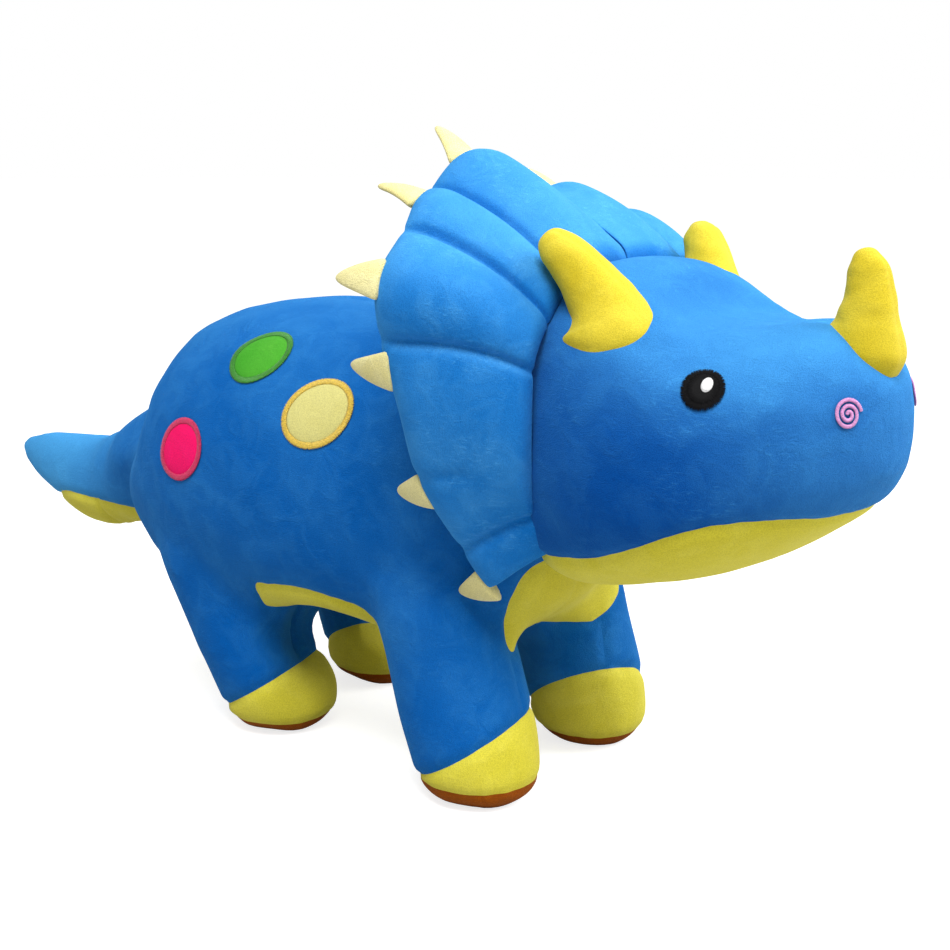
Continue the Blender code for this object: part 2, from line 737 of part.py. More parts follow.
def build_frill(toy, pivot, form):
    seat = moved_out(form, "seat", GAP)

    def inner_offset(t, v):
        return max(GAP / 2, frill_fullness(t, v) - CLOTH)

    front = frill_layer(toy, "front", frill_fullness, inner_offset, 1.0)
    back = frill_layer(
        toy, "back", lambda t, v: -inner_offset(t, v), lambda t, v: -frill_fullness(t, v), 1.0
    )

    def pad_offset(t, v):
        return max(0.0002, inner_offset(t, v) - PAD_CLEAR)

    pad = frill_layer(toy, "pad", pad_offset, lambda t, v: -pad_offset(t, v), 0.93)
    toy.keep(cut(front, seat), "frill_front_panel", "blue", pivot)
    toy.keep(cut(back, seat), "frill_back_panel", "blue", pivot)
    toy.keep(cut(pad, seat), "frill_padding", "filling", pivot)


def build_spikes(toy, pivot):
    """Felt triangles with blunt tips, standing out from the rim."""
    for number, t in enumerate(SPIKES, 1):
        rim = frill_point(t, 1.0, 0.0)
        outward_way = (rim - frill_point(t, 0.8, 0.0)).normalized()
        along = (frill_point(t - 0.12, 1.0, 0.0) - frill_point(min(t + 0.12, 10.0), 1.0, 0.0)).normalized()
        face = along.cross(outward_way).normalized()
        out = face.cross(along).normalized()
        half, tall = SPIKE_BASE / 2, SPIKE_LENGTH
        outline = [(-half, 0.0), (half, 0.0), (half * 0.62, tall * 0.45), (half * 0.30, tall * 0.90)]
        outline += [(0.0, tall), (-half * 0.30, tall * 0.90), (-half * 0.62, tall * 0.45)]
        base = rim + out * SPIKE_INSET
        place = Matrix.Translation(base) @ Matrix((along, out, face)).transposed().to_4x4()
        felt = prism("spike", outline, place, FELT, toy.tools)
        mirrored = split_mirror(felt, "spike")
        toy.keep(mirrored, f"frill_spike_right_{number}", "felt", pivot)
        toy.keep(felt, f"frill_spike_left_{number}", "felt", pivot)


# ---- sewn-on marks --------------------------------------------------------------------
def mark(toy, form, centre, outwards, sizes, turn, lift, thick):
    """A thin patch that follows the form inside an oval outline."""
    out = Vector(outwards).normalized()
    level = Vector((0, -1, 0))
    level = (level - out * level.dot(out)).normalized()
    upright = level.cross(out) if level.cross(out).z > 0 else out.cross(level)
    a = radians(turn)
    first = level * cos(a) + upright * sin(a)
    second = upright * cos(a) - level * sin(a)
    outline = [
        (sizes[0] * cos(2 * pi * k / MARK_SIDES), sizes[1] * sin(2 * pi * k / MARK_SIDES))
        for k in range(MARK_SIDES)
    ]
    place = Matrix.Translation(Vector(centre)) @ Matrix((first, second, out)).transposed().to_4x4()
    stamp = prism("stamp", outline, place, 0.040, toy.tools)
    patch = cut(moved_out(form, "patch", lift + thick), stamp, "INTERSECT")
    return cut(patch, moved_out(form, "under", lift))


def build_marks(toy, torso, head, root, neck):
    for name, centre, outwards, sizes, turn, colour in MARKS:
        patch = mark(toy, torso, centre, outwards, sizes, turn, GAP, PATCH)
        toy.keep_pair(patch, name, colour, root)
    eye = mark(toy, head, EYE_CENTRE, EYE_OUT, (EYE_RADIUS, EYE_RADIUS), 0.0, GAP, PATCH)
    toy.keep_pair(eye, "eye", "black", neck)
    centre = Vector(EYE_CENTRE) + GLINT_SHIFT
    sizes = (GLINT_RADIUS, GLINT_RADIUS * 1.3)
    glint = mark(toy, head, centre, EYE_OUT, sizes, 0.0, 2 * GAP + PATCH, PATCH / 2)
    toy.keep_pair(glint, "eye_glint", "white", neck)
    cheek = mark(toy, head, CHEEK_CENTRE, CHEEK_OUT, (CHEEK_RADIUS, CHEEK_RADIUS), 0.0, GAP, PATCH)
    toy.keep_pair(cheek, "cheek_spiral", "lilac", neck)


def main():
    clear_scene()
    toy = Toy()
    root = toy.pivot("torso_origin", (0.0, 0.0, 0.0))
    neck = toy.pivot("neck_pivot", NECK_PIVOT)
    tail = toy.pivot("tail_pivot", TAIL_PIVOT)
    torso = build_torso(toy, root)
    build_tail(toy, tail)
    head = build_head(toy, neck)
    cover, core = build_horn(toy, head, NOSE_HORN)
    toy.keep(cover, "nose_horn_cover", "yellow", neck)
    toy.keep(core, "nose_horn_filling", "filling", neck)
    cover, core = build_horn(toy, head, BROW_HORN)
    for side, twin in (("right", split_mirror), ("left", copied)):
        toy.keep(twin(cover, "cover"), f"brow_horn_{side}_cover", "yellow", neck)
        toy.keep(twin(core, "core"), f"brow_horn_{side}_filling", "filling", neck)
    build_frill(toy, neck, head)
    build_spikes(toy, neck)
    build_marks(toy, torso, head, root, neck)
    bpy.context.view_layer.update()
    for ob in list(toy.tools.objects):
        bpy.data.objects.remove(ob, do_unlink=True)


main()
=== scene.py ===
from math import cos, pi, radians, sin

import bmesh
import bpy
import numpy as np
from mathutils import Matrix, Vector, noise
from mathutils.bvhtree import BVHTree


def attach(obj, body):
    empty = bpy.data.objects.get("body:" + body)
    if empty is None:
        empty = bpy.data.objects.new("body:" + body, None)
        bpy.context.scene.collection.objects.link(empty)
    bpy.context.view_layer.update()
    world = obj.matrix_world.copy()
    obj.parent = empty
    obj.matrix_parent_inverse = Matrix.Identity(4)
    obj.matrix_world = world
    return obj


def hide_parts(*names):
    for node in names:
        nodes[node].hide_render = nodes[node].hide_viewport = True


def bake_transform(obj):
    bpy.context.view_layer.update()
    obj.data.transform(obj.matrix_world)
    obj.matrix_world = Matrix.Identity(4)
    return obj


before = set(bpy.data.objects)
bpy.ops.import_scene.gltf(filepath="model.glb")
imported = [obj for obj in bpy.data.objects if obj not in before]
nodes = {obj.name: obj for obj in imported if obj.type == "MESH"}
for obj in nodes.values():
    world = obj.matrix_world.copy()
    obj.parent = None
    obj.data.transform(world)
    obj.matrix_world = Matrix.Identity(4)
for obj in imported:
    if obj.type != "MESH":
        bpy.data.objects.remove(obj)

scene = bpy.context.scene
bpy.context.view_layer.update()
sides = (("right", -1), ("left", 1))
print("frame loaded:", len(nodes), "nodes")


# mesh helpers
def newObject(name, mesh):
    made = bpy.data.objects.new(name, mesh)
    scene.collection.objects.link(made)
    return made


def meshFrom(name, points, faces):
    mesh = bpy.data.meshes.new(name)
    mesh.from_pydata([tuple(p) for p in points], [], [tuple(f) for f in faces])
    mesh.update()
    return newObject(name, mesh)


def plain(obj, name):  # a plain mesh object with the modifiers of obj applied
    graph = bpy.context.evaluated_depsgraph_get()
    mesh = bpy.data.meshes.new_from_object(obj.evaluated_get(graph))
    bpy.data.objects.remove(obj, do_unlink=True)
    mesh.name = name
    return newObject(name, mesh)


def getCo(mesh):
    co = np.empty(len(mesh.vertices) * 3)
    mesh.vertices.foreach_get("co", co)
    return co.reshape(-1, 3)


def setCo(mesh, co):
    mesh.vertices.foreach_set("co", np.asarray(co, dtype=float).ravel())
    mesh.update()


def getNormals(mesh):
    out = np.empty(len(mesh.vertices) * 3)
    mesh.vertex_normals.foreach_get("vector", out)
    return out.reshape(-1, 3)


def merged(name, nodeNames, extra=()):  # copies of CAD nodes as one welded mesh
    bm = bmesh.new()
    for n in nodeNames:
        bm.from_mesh(nodes[n].data)
    bmesh.ops.remove_doubles(bm, verts=bm.verts, dist=1e-5)
    for obj in extra:
        bm.from_mesh(obj.data)
        bpy.data.objects.remove(obj, do_unlink=True)
    mesh = bpy.data.meshes.new(name)
    bm.to_mesh(mesh)
    bm.free()
    return newObject(name, mesh)


def softened(obj, voxel, steps, factor=0.5):
    remesh = obj.modifiers.new("skin", "REMESH")
    remesh.mode = "VOXEL"
    remesh.voxel_size = voxel
    soft = obj.modifiers.new("soft", "SMOOTH")
    soft.factor, soft.iterations = factor, steps
    return plain(obj, obj.name)


def outerSkin(name, nodeNames, voxel, steps, extra=()):  # one closed skin round several nodes
    skin = softened(merged(name, nodeNames, extra), voxel, steps)
    bm = bmesh.new()
    bm.from_mesh(skin.data)
    bm.verts.ensure_lookup_table()
    seen, islands = set(), []
    for v in bm.verts:
        if v in seen:
            continue
        stack, island = [v], []
        seen.add(v)
        while stack:
            u = stack.pop()
            island.append(u)
            for e in u.link_edges:
                w = e.other_vert(u)
                if w not in seen:
                    seen.add(w)
                    stack.append(w)
        islands.append(island)
    islands.sort(key=len)
    bmesh.ops.delete(bm, geom=[v for island in islands[:-1] for v in island], context="VERTS")
    bm.to_mesh(skin.data)
    bm.free()
    return skin


def subdivided(obj, levels=1):
    sub = obj.modifiers.new("sub", "SUBSURF")
    sub.levels = sub.render_levels = levels
    return plain(obj, obj.name)


def pushed(obj, distance):  # every point moved along its normal
    setCo(obj.data, getCo(obj.data) + getNormals(obj.data) * np.reshape(distance, (-1, 1)))
    return obj


def turnedOut(obj):  # faces made to point outward
    bm = bmesh.new()
    bm.from_mesh(obj.data)
    bmesh.ops.recalc_face_normals(bm, faces=bm.faces)
    bm.to_mesh(obj.data)
    bm.free()
    return obj


def band(value, width):  # 1 on a line, falling to 0 beside it
    return np.exp(-((value / width) ** 2))


def ramp(value, low, high):
    t = np.clip((value - low) / (high - low), 0.0, 1.0)
    return t * t * (3 - 2 * t)


def inflated(obj, pins, settings):  # cloth under pressure, held where pins is 1
    start = getCo(obj.data)
    group = obj.vertex_groups.new(name="held")
    for i in np.nonzero(pins > 0.02)[0]:
        group.add([int(i)], float(min(1.0, pins[i])), "REPLACE")
    cloth = obj.modifiers.new("cloth", "CLOTH")
    cs = cloth.settings
    cs.quality = 4
    cs.mass = 0.25
    cs.use_pressure = True
    cs.uniform_pressure_force = settings["pressure"]
    cs.tension_stiffness = cs.compression_stiffness = settings["stiffness"]
    cs.bending_stiffness = settings["bending"]
    cs.vertex_group_mass = "held"
    cs.effector_weights.gravity = 0
    cloth.collision_settings.use_collision = False
    cloth.point_cache.frame_start, cloth.point_cache.frame_end = 1, settings["frames"]
    for f in range(1, settings["frames"] + 1):
        scene.frame_set(f)
    graph = bpy.context.evaluated_depsgraph_get()
    end = getCo(obj.evaluated_get(graph).data)
    obj.modifiers.remove(cloth)
    obj.vertex_groups.remove(group)
    scene.frame_set(1)
    moved = end - start
    far = np.linalg.norm(moved, axis=1, keepdims=True)
    keep = np.minimum(1.0, settings["cap"] / np.maximum(far, 1e-9))
    setCo(obj.data, start + moved * keep)
    return obj


def finished(obj, material, body, replaced=(), blendTo=None):
    # material and body of a piece; with blendTo its place is baked in instead of hung on a body
    obj.data.materials.clear()
    obj.data.materials.append(material)
    obj.data.shade_smooth()
    if blendTo:
        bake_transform(obj)
    else:
        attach(obj, body)
    if replaced:
        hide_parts(*replaced)
    return obj


# seams: a field is positive on one side of a seam and its size is the distance
def row(table):
    return np.array([t[0] for t in table]), np.array([t[1] for t in table])


def along(table, y):
    ys, zs = row(sorted(table))
    return np.interp(y, ys, zs)


def rounded(table, steps=4):  # the same line with its corners rounded
    pts = np.array(table, dtype=float)
    for _ in range(steps):
        a, b = pts[:-1], pts[1:]
        mid = np.stack([a * 0.75 + b * 0.25, a * 0.25 + b * 0.75], 1).reshape(-1, 2)
        pts = np.vstack([pts[:1], mid, pts[-1:]])
    return [tuple(p) for p in pts]


seams = {
    "belly": rounded([(-0.200, 0.122), (-0.160, 0.114), (-0.140, 0.102), (-0.118, 0.084), (-0.096, 0.0720),
                      (-0.080, 0.0720), (-0.068, 0.0790), (-0.052, 0.0830), (-0.032, 0.0845), (-0.010, 0.0815),
                      (0.030, 0.078), (0.090, 0.079), (0.140, 0.083), (0.186, 0.0860), (0.220, 0.088)]),
    "plan": rounded([(-0.200, 0.037), (-0.150, 0.037), (-0.128, 0.033), (-0.105, 0.034), (-0.090, 0.047),
                     (-0.076, 0.068), (-0.062, 0.100), (-0.020, 0.100), (-0.006, 0.066), (0.006, 0.048),
                     (0.072, 0.043), (0.110, 0.034), (0.186, 0.028), (0.220, 0.026)]),
    "jaw": rounded([(-0.310, 0.1400), (-0.284, 0.1440), (-0.270, 0.1470), (-0.258, 0.1462), (-0.247, 0.1435),
                    (-0.233, 0.1376), (-0.204, 0.1245), (-0.185, 0.1205), (-0.160, 0.1180), (-0.120, 0.1170)]),
    "tail": rounded([(0.150, 0.0850), (0.186, 0.0860), (0.206, 0.0865), (0.222, 0.0860), (0.236, 0.0820),
                     (0.246, 0.0765), (0.262, 0.0700), (0.310, 0.0600)]),
    "sole": {"frontright": 0.0098, "frontleft": 0.0062, "rearright": 0.0062, "rearleft": 0.0078},
    "toe": (0.0262, 0.56, 0.25),  # height in the middle, rise to the front, rise to the inside
    "legTop": {"front": 0.065, "rear": 0.0775},  # top of the legs' own panels, rising outward by legRise
    "legRise": 0.42,
    "innerLeg": 0.034,
    "tailStart": 0.1862,
    "groove": 0.0016,
    "grooveWidth": 0.0024,
}
legs = {  # z, centre x, centre y, radius
    "front": [(-0.002, 0.0416, -0.1255, 0.0235), (0.008, 0.0416, -0.1250, 0.0280), (0.020, 0.0416, -0.1225, 0.0292),
              (0.045, 0.0418, -0.1140, 0.0305), (0.075, 0.0420, -0.1050, 0.0320)],
    "rear": [(-0.002, 0.0363, 0.0160, 0.0235), (0.008, 0.0368, 0.0165, 0.0282), (0.020, 0.0380, 0.0180, 0.0296),
             (0.045, 0.0415, 0.0255, 0.0325), (0.075, 0.0455, 0.0370, 0.0360)],
}
splay = {"frontright": (0.0, 0.0), "frontleft": (0.008, 0.007),  # how far each foot stands outward and back
         "rearright": (0.002, -0.0070), "rearleft": (0.008, 0.006)}


def legAxis(place, p, straight=False):  # middle and radius of a splayed leg at the height of each point
    table = np.array(legs[place])
    cx, cy, r = (np.interp(p[:, 2], table[:, 0], table[:, k]) for k in (1, 2, 3))
    low = (0.0 if straight else 1.0) * (1 - ramp(p[:, 2], 0.012, 0.085))
    right = p[:, 0] < 0
    (rx, ry), (lx, ly) = splay[place + "right"], splay[place + "left"]
    return cx + np.where(right, rx, lx) * low, cy + np.where(right, ry, ly) * low, r


def legDistance(p, place):  # distance outside the leg's tube, negative inside
    cx, cy, r = legAxis(place, p)
    return np.hypot(np.abs(p[:, 0]) - cx, p[:, 1] - cy) - r - 0.0045


def softMin(a, b, size=0.008):  # the smaller of two fields with the corner rounded
    h = np.clip(0.5 + 0.5 * (b - a) / size, 0, 1)
    return b + (a - b) * h - size * h * (1 - h)


def legLimit(p, place):
    return seams["legTop"][place] + seams["legRise"] * np.maximum(np.abs(p[:, 0]) - 0.030, 0)


def bellyField(p):
    under = along(seams["belly"], p[:, 1]) - p[:, 2]
    chest = 0.024 * (1 - ramp(p[:, 1], -0.118, -0.100)) * (p[:, 0] > 0)
    inside = along(seams["plan"], p[:, 1]) + chest - np.abs(p[:, 0])
    f = softMin(under, inside)
    for place in legs:
        f = softMin(f, np.maximum(legDistance(p, place), p[:, 2] - legLimit(p, place)))
    return np.minimum(f, seams["tailStart"] - p[:, 1])


def toeField(p):
    f = np.full(len(p), -1.0)
    for place in legs:
        cx, cy, _ = legAxis(place, p * np.array([1, 1, 0]) + np.array([0, 0, 0.008]))
        middle, front, inside = seams["toe"]
        slant = (middle - front * (p[:, 1] - cy) - inside * (np.abs(p[:, 0]) - cx) - p[:, 2]) / 1.16
        near = 0.042 - np.hypot(np.abs(p[:, 0]) - cx, p[:, 1] - cy)
        f = np.maximum(f, np.minimum(slant, near))
    return f


def soleField(p):
    high = np.zeros(len(p))
    for foot, value in seams["sole"].items():
        mine = (p[:, 0] < 0) == foot.endswith("right")
        high[mine & ((p[:, 1] < -0.05) == foot.startswith("front"))] = value
    return high - p[:, 2]


def tailStartField(p):
    return p[:, 1] - seams["tailStart"]


def tailField(p):
    return np.minimum(along(seams["tail"], p[:, 1]) - p[:, 2], p[:, 1] - seams["tailStart"])


def innerField(p):
    f = np.full(len(p), -1.0)
    for place in legs:
        g = np.minimum(-legDistance(p, place), legLimit(p, place) - p[:, 2])
        f = np.maximum(f, np.minimum(g, seams["innerLeg"] - np.abs(p[:, 0])))
    return np.minimum(f, -toeField(p))


def middleField(p):
    return p[:, 0]


def jawField(p):
    return (along(seams["jaw"], p[:, 1]) - p[:, 2]) * 0.95


def cutAlong(bm, field):  # new edges exactly on the line where the field is 0
    bm.verts.index_update()
    bm.edges.index_update()
    verts, edges = list(bm.verts), list(bm.edges)
    co = np.array([v.co[:] for v in verts])
    value = field(co)
    pairs = np.array([(e.verts[0].index, e.verts[1].index) for e in edges])
    a, b = value[pairs[:, 0]], value[pairs[:, 1]]
    crossing = np.nonzero(a * b < 0)[0]
    zero = set(int(i) for i in np.nonzero(value == 0)[0])
    for i in crossing:  # points close to the line slide onto it
        t = a[i] / (a[i] - b[i])
        if t < 0.18 or t > 0.82:
            near, other = pairs[i] if t < 0.18 else pairs[i][::-1]
            share = t if t < 0.18 else 1 - t
            if int(near) not in zero:
                verts[near].co = verts[near].co.lerp(verts[other].co, share)
                zero.add(int(near))
    onLine = {verts[i] for i in zero}
    for i in crossing:
        u, w = int(pairs[i][0]), int(pairs[i][1])
        if u in zero or w in zero:
            continue
        _, made = bmesh.utils.edge_split(edges[i], verts[u], a[i] / (a[i] - b[i]))
        onLine.add(made)
    touched = {f for v in onLine for f in v.link_faces}
    for f in touched:
        ends = [v for v in f.verts if v in onLine]
        if len(ends) == 2 and not any(ends[1] in e.verts for e in ends[0].link_edges):
            bmesh.utils.face_split(f, ends[0], ends[1])
    return onLine


def cutIntoPanels(obj, fields, groove, width, label):  # label gives a panel number for every face centre
    bm = bmesh.new()
    bm.from_mesh(obj.data)
    for field in fields:
        cutAlong(bm, field)
    bm.normal_update()
    co = np.array([v.co[:] for v in bm.verts])
    normal = np.array([v.normal[:] for v in bm.verts])
    depth = np.zeros(len(co))
    for field in fields:
        depth = np.maximum(depth, band(field(co), width) * groove.get(field.__name__, 1.0))
    ripple = np.array([noise.noise(Vector(c) * 160) for c in co])
    moved = co - normal * (depth * seams["groove"] * (1 + 0.35 * ripple))[:, None]
    numbers = label(np.array([f.calc_center_median()[:] for f in bm.faces]))
    bm.verts.index_update()
    faces = [[v.index for v in f.verts] for f in bm.faces]
    bm.free()
    bpy.data.objects.remove(obj, do_unlink=True)
    panels = {}
    for n in np.unique(numbers):
        own = [faces[i] for i in np.nonzero(numbers == n)[0]]
        used = sorted({v for f in own for v in f})
        place = {v: k for k, v in enumerate(used)}
        panels[n] = ([moved[v] for v in used], [[place[v] for v in f] for f in own])
    return panels


# materials
def node(tree, kind, **values):
    made = tree.nodes.new(kind)
    for key, value in values.items():
        if key in made.bl_rna.properties:
            setattr(made, key, value)
        else:
            made.inputs[key.replace("_", " ")].default_value = value
    return made


def mathNode(tree, operation, a, b=None, c=None):
    made = node(tree, "ShaderNodeMath", operation=operation)
    for k, value in enumerate((a, b, c)):
        if value is None:
            continue
        if isinstance(value, (int, float)):
            made.inputs[k].default_value = value
        else:
            tree.links.new(value, made.inputs[k])
    return made.outputs[0]


def mixColour(tree, factor, a, b, mode="MIX"):
    made = node(tree, "ShaderNodeMix", data_type="RGBA", blend_type=mode)
    for socket, value in ((made.inputs[0], factor), (made.inputs[6], a), (made.inputs[7], b)):
        if isinstance(value, (int, float)):
            socket.default_value = value
        elif isinstance(value, tuple):
            socket.default_value = (*value[:3], 1.0)
        else:
            tree.links.new(value, socket)
    return made.outputs[2]


def stretched(tree, source, scale, turn=(0, 0, 0)):
    made = node(tree, "ShaderNodeMapping")
    made.inputs["Scale"].default_value = scale
    made.inputs["Rotation"].default_value = turn
    tree.links.new(source, made.inputs["Vector"])
    return made.outputs[0]


def noiseValue(tree, source, scale, detail=2.0, rough=0.5, distortion=0.0):
    made = node(tree, "ShaderNodeTexNoise", Scale=scale, Detail=detail, Roughness=rough, Distortion=distortion)
    tree.links.new(source, made.inputs["Vector"])
    return made.outputs["Fac"]


def remapped(tree, value, low, high, outLow=0.0, outHigh=1.0):
    made = node(tree, "ShaderNodeMapRange", interpolation_type="SMOOTHSTEP")
    tree.links.new(value, made.inputs["Value"])
    for key, number in (("From Min", low), ("From Max", high), ("To Min", outLow), ("To Max", outHigh)):
        made.inputs[key].default_value = number
    return made.outputs[0]


def pileGroup():  # short brushed pile: mottled nap, streaks where it was stroked, fine grain, and painted light that makes upward faces and the nose paler
    tree = bpy.data.node_groups.new("pileWithPaintedLight", "ShaderNodeTree")
    for name, kind in (("Pile", "NodeSocketColor"), ("BrushedAndLit", "NodeSocketColor"), ("Mottle", "NodeSocketFloat"),
                       ("Streak", "NodeSocketFloat"), ("Top", "NodeSocketFloat"), ("Rear", "NodeSocketFloat"),
                       ("Front", "NodeSocketFloat")):
        tree.interface.new_socket(name, in_out="INPUT", socket_type=kind)
    for name, kind in (("Color", "NodeSocketColor"), ("Height", "NodeSocketFloat")):
        tree.interface.new_socket(name, in_out="OUTPUT", socket_type=kind)
    given = tree.nodes.new("NodeGroupInput")
    out = tree.nodes.new("NodeGroupOutput")
    coords = tree.nodes.new("ShaderNodeTexCoord").outputs["Object"]
    cloud = remapped(tree, noiseValue(tree, coords, 16.0, 3.0, 0.55, 0.4), 0.36, 0.68)
    patch = remapped(tree, noiseValue(tree, coords, 62.0, 3.0, 0.6, 1.2), 0.42, 0.66)
    nap = noiseValue(tree, stretched(tree, coords, (420.0, 190.0, 900.0), (0.35, 0.2, 0.5)), 1.0, 3.0, 0.65, 0.9)
    streak = remapped(tree, nap, 0.50, 0.74)
    where = remapped(tree, noiseValue(tree, coords, 34.0, 2.0, 0.5, 0.3), 0.46, 0.62)
    grain = noiseValue(tree, coords, 2100.0, 2.0, 0.7)
    # painted light: faces turned upward are mixed towards the pale colour
    facing = tree.nodes.new("ShaderNodeSeparateXYZ")
    tree.links.new(tree.nodes.new("ShaderNodeNewGeometry").outputs["Normal"], facing.inputs[0])
    upward = remapped(tree, facing.outputs["Z"], 0.05, 1.0)
    mottle = mathNode(tree, "MULTIPLY_ADD", patch, 0.35, mathNode(tree, "MULTIPLY", cloud, 0.65))
    light = mathNode(tree, "MULTIPLY", mottle, given.outputs["Mottle"])
    stroked = mathNode(tree, "MULTIPLY", streak, where)
    light = mathNode(tree, "MULTIPLY_ADD", stroked, given.outputs["Streak"], light)
    light = mathNode(tree, "MULTIPLY_ADD", upward, given.outputs["Top"], light)
    length = tree.nodes.new("ShaderNodeSeparateXYZ")
    tree.links.new(coords, length.inputs[0])
    for name, start, end in (("Rear", 0.13, 0.25), ("Front", -0.232, -0.300)):  # paler towards the tail, and paler towards the nose as painted light from the front
        paler = remapped(tree, length.outputs["Y"], start, end)
        light = mathNode(tree, "MULTIPLY_ADD", paler, given.outputs[name], light)
    light = mathNode(tree, "MINIMUM", light, 1.0)
    colour = mixColour(tree, light, given.outputs["Pile"], given.outputs["BrushedAndLit"])
    dark = mixColour(tree, 1.0, colour, (0.80, 0.80, 0.83), "MULTIPLY")
    colour = mixColour(tree, remapped(tree, grain, 0.36, 0.60), dark, colour)
    tree.links.new(colour, out.inputs["Color"])
    height = mathNode(tree, "MULTIPLY_ADD", streak, 0.35, grain)
    height = mathNode(tree, "MULTIPLY_ADD", patch, 0.5, height)
    tree.links.new(height, out.inputs["Height"])
    return tree


pile = pileGroup()


def pileMaterial(name, look):
    made = bpy.data.materials.new(name)
    made.use_nodes = True
    tree = made.node_tree
    shader = tree.nodes["Principled BSDF"]
    group = node(tree, "ShaderNodeGroup")
    group.node_tree = pile
    group.inputs["Pile"].default_value = (*look["pile"], 1)
    group.inputs["BrushedAndLit"].default_value = (*look["brushedAndLit"], 1)
    for key in ("Mottle", "Streak", "Top", "Rear", "Front"):
        group.inputs[key].default_value = look.get(key.lower(), 0.0)
    bump = node(tree, "ShaderNodeBump", Strength=look["bump"], Distance=0.0012)
    tree.links.new(group.outputs["Height"], bump.inputs["Height"])
    # painted sheen: edges seen at a grazing angle are mixed towards the pale colour
    edge = node(tree, "ShaderNodeLayerWeight", Blend=0.35)
    lift = mathNode(tree, "MULTIPLY", mathNode(tree, "POWER", edge.outputs["Facing"], 2.2), look["edge"])
    colour = mixColour(tree, lift, group.outputs["Color"], look["brushedAndLit"])
    tree.links.new(colour, shader.inputs["Base Color"])
    tree.links.new(bump.outputs[0], shader.inputs["Normal"])
    shader.inputs["Roughness"].default_value = 0.85
    shader.inputs["Specular IOR Level"].default_value = 0.04
    shader.inputs["Sheen Weight"].default_value = look["sheen"]
    shader.inputs["Sheen Roughness"].default_value = 0.42
    shader.inputs["Sheen Tint"].default_value = (*look["sheenTint"], 1)
    return made


def threadMaterial(name, colour, rough=0.42, scale=900.0, sheen=0.2, gloss=0.35):
    made = bpy.data.materials.new(name)
    made.use_nodes = True
    tree = made.node_tree
    shader = tree.nodes["Principled BSDF"]
    coords = node(tree, "ShaderNodeTexCoord").outputs["Object"]
    strand = noiseValue(tree, stretched(tree, coords, (scale, scale, scale * 2.5), (0.4, 0.7, 0.2)), 1.0, 3.0, 0.6)
    tone = remapped(tree, strand, 0.3, 0.7, 0.0, 1.0)
    deep = tuple(c * 0.62 for c in colour)
    tree.links.new(mixColour(tree, tone, deep, colour), shader.inputs["Base Color"])
    bump = node(tree, "ShaderNodeBump", Strength=0.5, Distance=0.0003)
    tree.links.new(strand, bump.inputs["Height"])
    tree.links.new(bump.outputs[0], shader.inputs["Normal"])
    shader.inputs["Roughness"].default_value = rough
    shader.inputs["Specular IOR Level"].default_value = gloss
    shader.inputs["Sheen Weight"].default_value = sheen
    return made


blueSheen = (0.10, 0.48, 1.0)
# top and front set painted light (paler on upward faces and towards the nose); edge sets painted sheen on grazing
# edges
looks = {
    "blue": {"pile": (0.0008, 0.096, 0.38), "brushedAndLit": (0.062, 0.33, 0.69), "mottle": 0.22, "streak": 0.10,
             "top": 0.04, "rear": 0.92, "edge": 0.26, "bump": 0.40, "sheen": 0.20, "sheenTint": blueSheen},
    "face": {"pile": (0.0006, 0.066, 0.31), "brushedAndLit": (0.060, 0.32, 0.68), "mottle": 0.18, "streak": 0.20,
             "top": 0.48, "front": 0.34, "edge": 0.22, "bump": 0.48, "sheen": 0.16, "sheenTint": blueSheen},
    # the frill's paler pile and strong top are painted light where it faces the lamp above
    "frill": {"pile": (0.004, 0.145, 0.48), "brushedAndLit": (0.100, 0.42, 0.80), "mottle": 0.30, "streak": 0.26,
              "top": 0.30, "edge": 0.30, "bump": 0.40, "sheen": 0.24, "sheenTint": blueSheen},
    "yellow": {"pile": (0.62, 0.55, 0.042), "brushedAndLit": (0.80, 0.74, 0.14), "mottle": 0.35, "streak": 0.18,
               "top": 0.15, "edge": 0.25, "bump": 0.30, "sheen": 0.12, "sheenTint": (1.0, 0.96, 0.6)},
    "horn": {"pile": (0.53, 0.41, 0.017), "brushedAndLit": (0.74, 0.64, 0.085), "mottle": 0.35, "streak": 0.15,
             "top": 0.15, "edge": 0.25, "bump": 0.30, "sheen": 0.12, "sheenTint": (1.0, 0.95, 0.6)},
    "green": {"pile": (0.042, 0.30, 0.018), "brushedAndLit": (0.10, 0.42, 0.040), "mottle": 0.5, "streak": 0.2,
              "top": 0.1, "edge": 0.2, "bump": 0.28, "sheen": 0.1, "sheenTint": (0.7, 1.0, 0.6)},
    "cream": {"pile": (0.58, 0.53, 0.17), "brushedAndLit": (0.72, 0.68, 0.28), "mottle": 0.4, "streak": 0.2,
              "top": 0.1, "edge": 0.2, "bump": 0.28, "sheen": 0.1, "sheenTint": (1.0, 1.0, 0.8)},
    "pink": {"pile": (0.88, 0.006, 0.120), "brushedAndLit": (1.0, 0.020, 0.20), "mottle": 0.4, "streak": 0.1,
             "top": 0.1, "edge": 0.2, "bump": 0.28, "sheen": 0.06, "sheenTint": (1.0, 0.4, 0.6)},
    "felt": {"pile": (0.72, 0.64, 0.25), "brushedAndLit": (0.88, 0.83, 0.48), "mottle": 0.5, "streak": 0.1,
             "top": 0.15, "edge": 0.3, "bump": 0.50, "sheen": 0.15, "sheenTint": (1.0, 1.0, 0.85)},
    "sole": {"pile": (0.27, 0.060, 0.002), "brushedAndLit": (0.42, 0.115, 0.006), "mottle": 0.5, "streak": 0.1,
             "top": 0.0, "edge": 0.1, "bump": 0.50, "sheen": 0.08, "sheenTint": (1.0, 0.7, 0.5)},
}
paint = {name: pileMaterial(name + "Plush", look) for name, look in looks.items()}
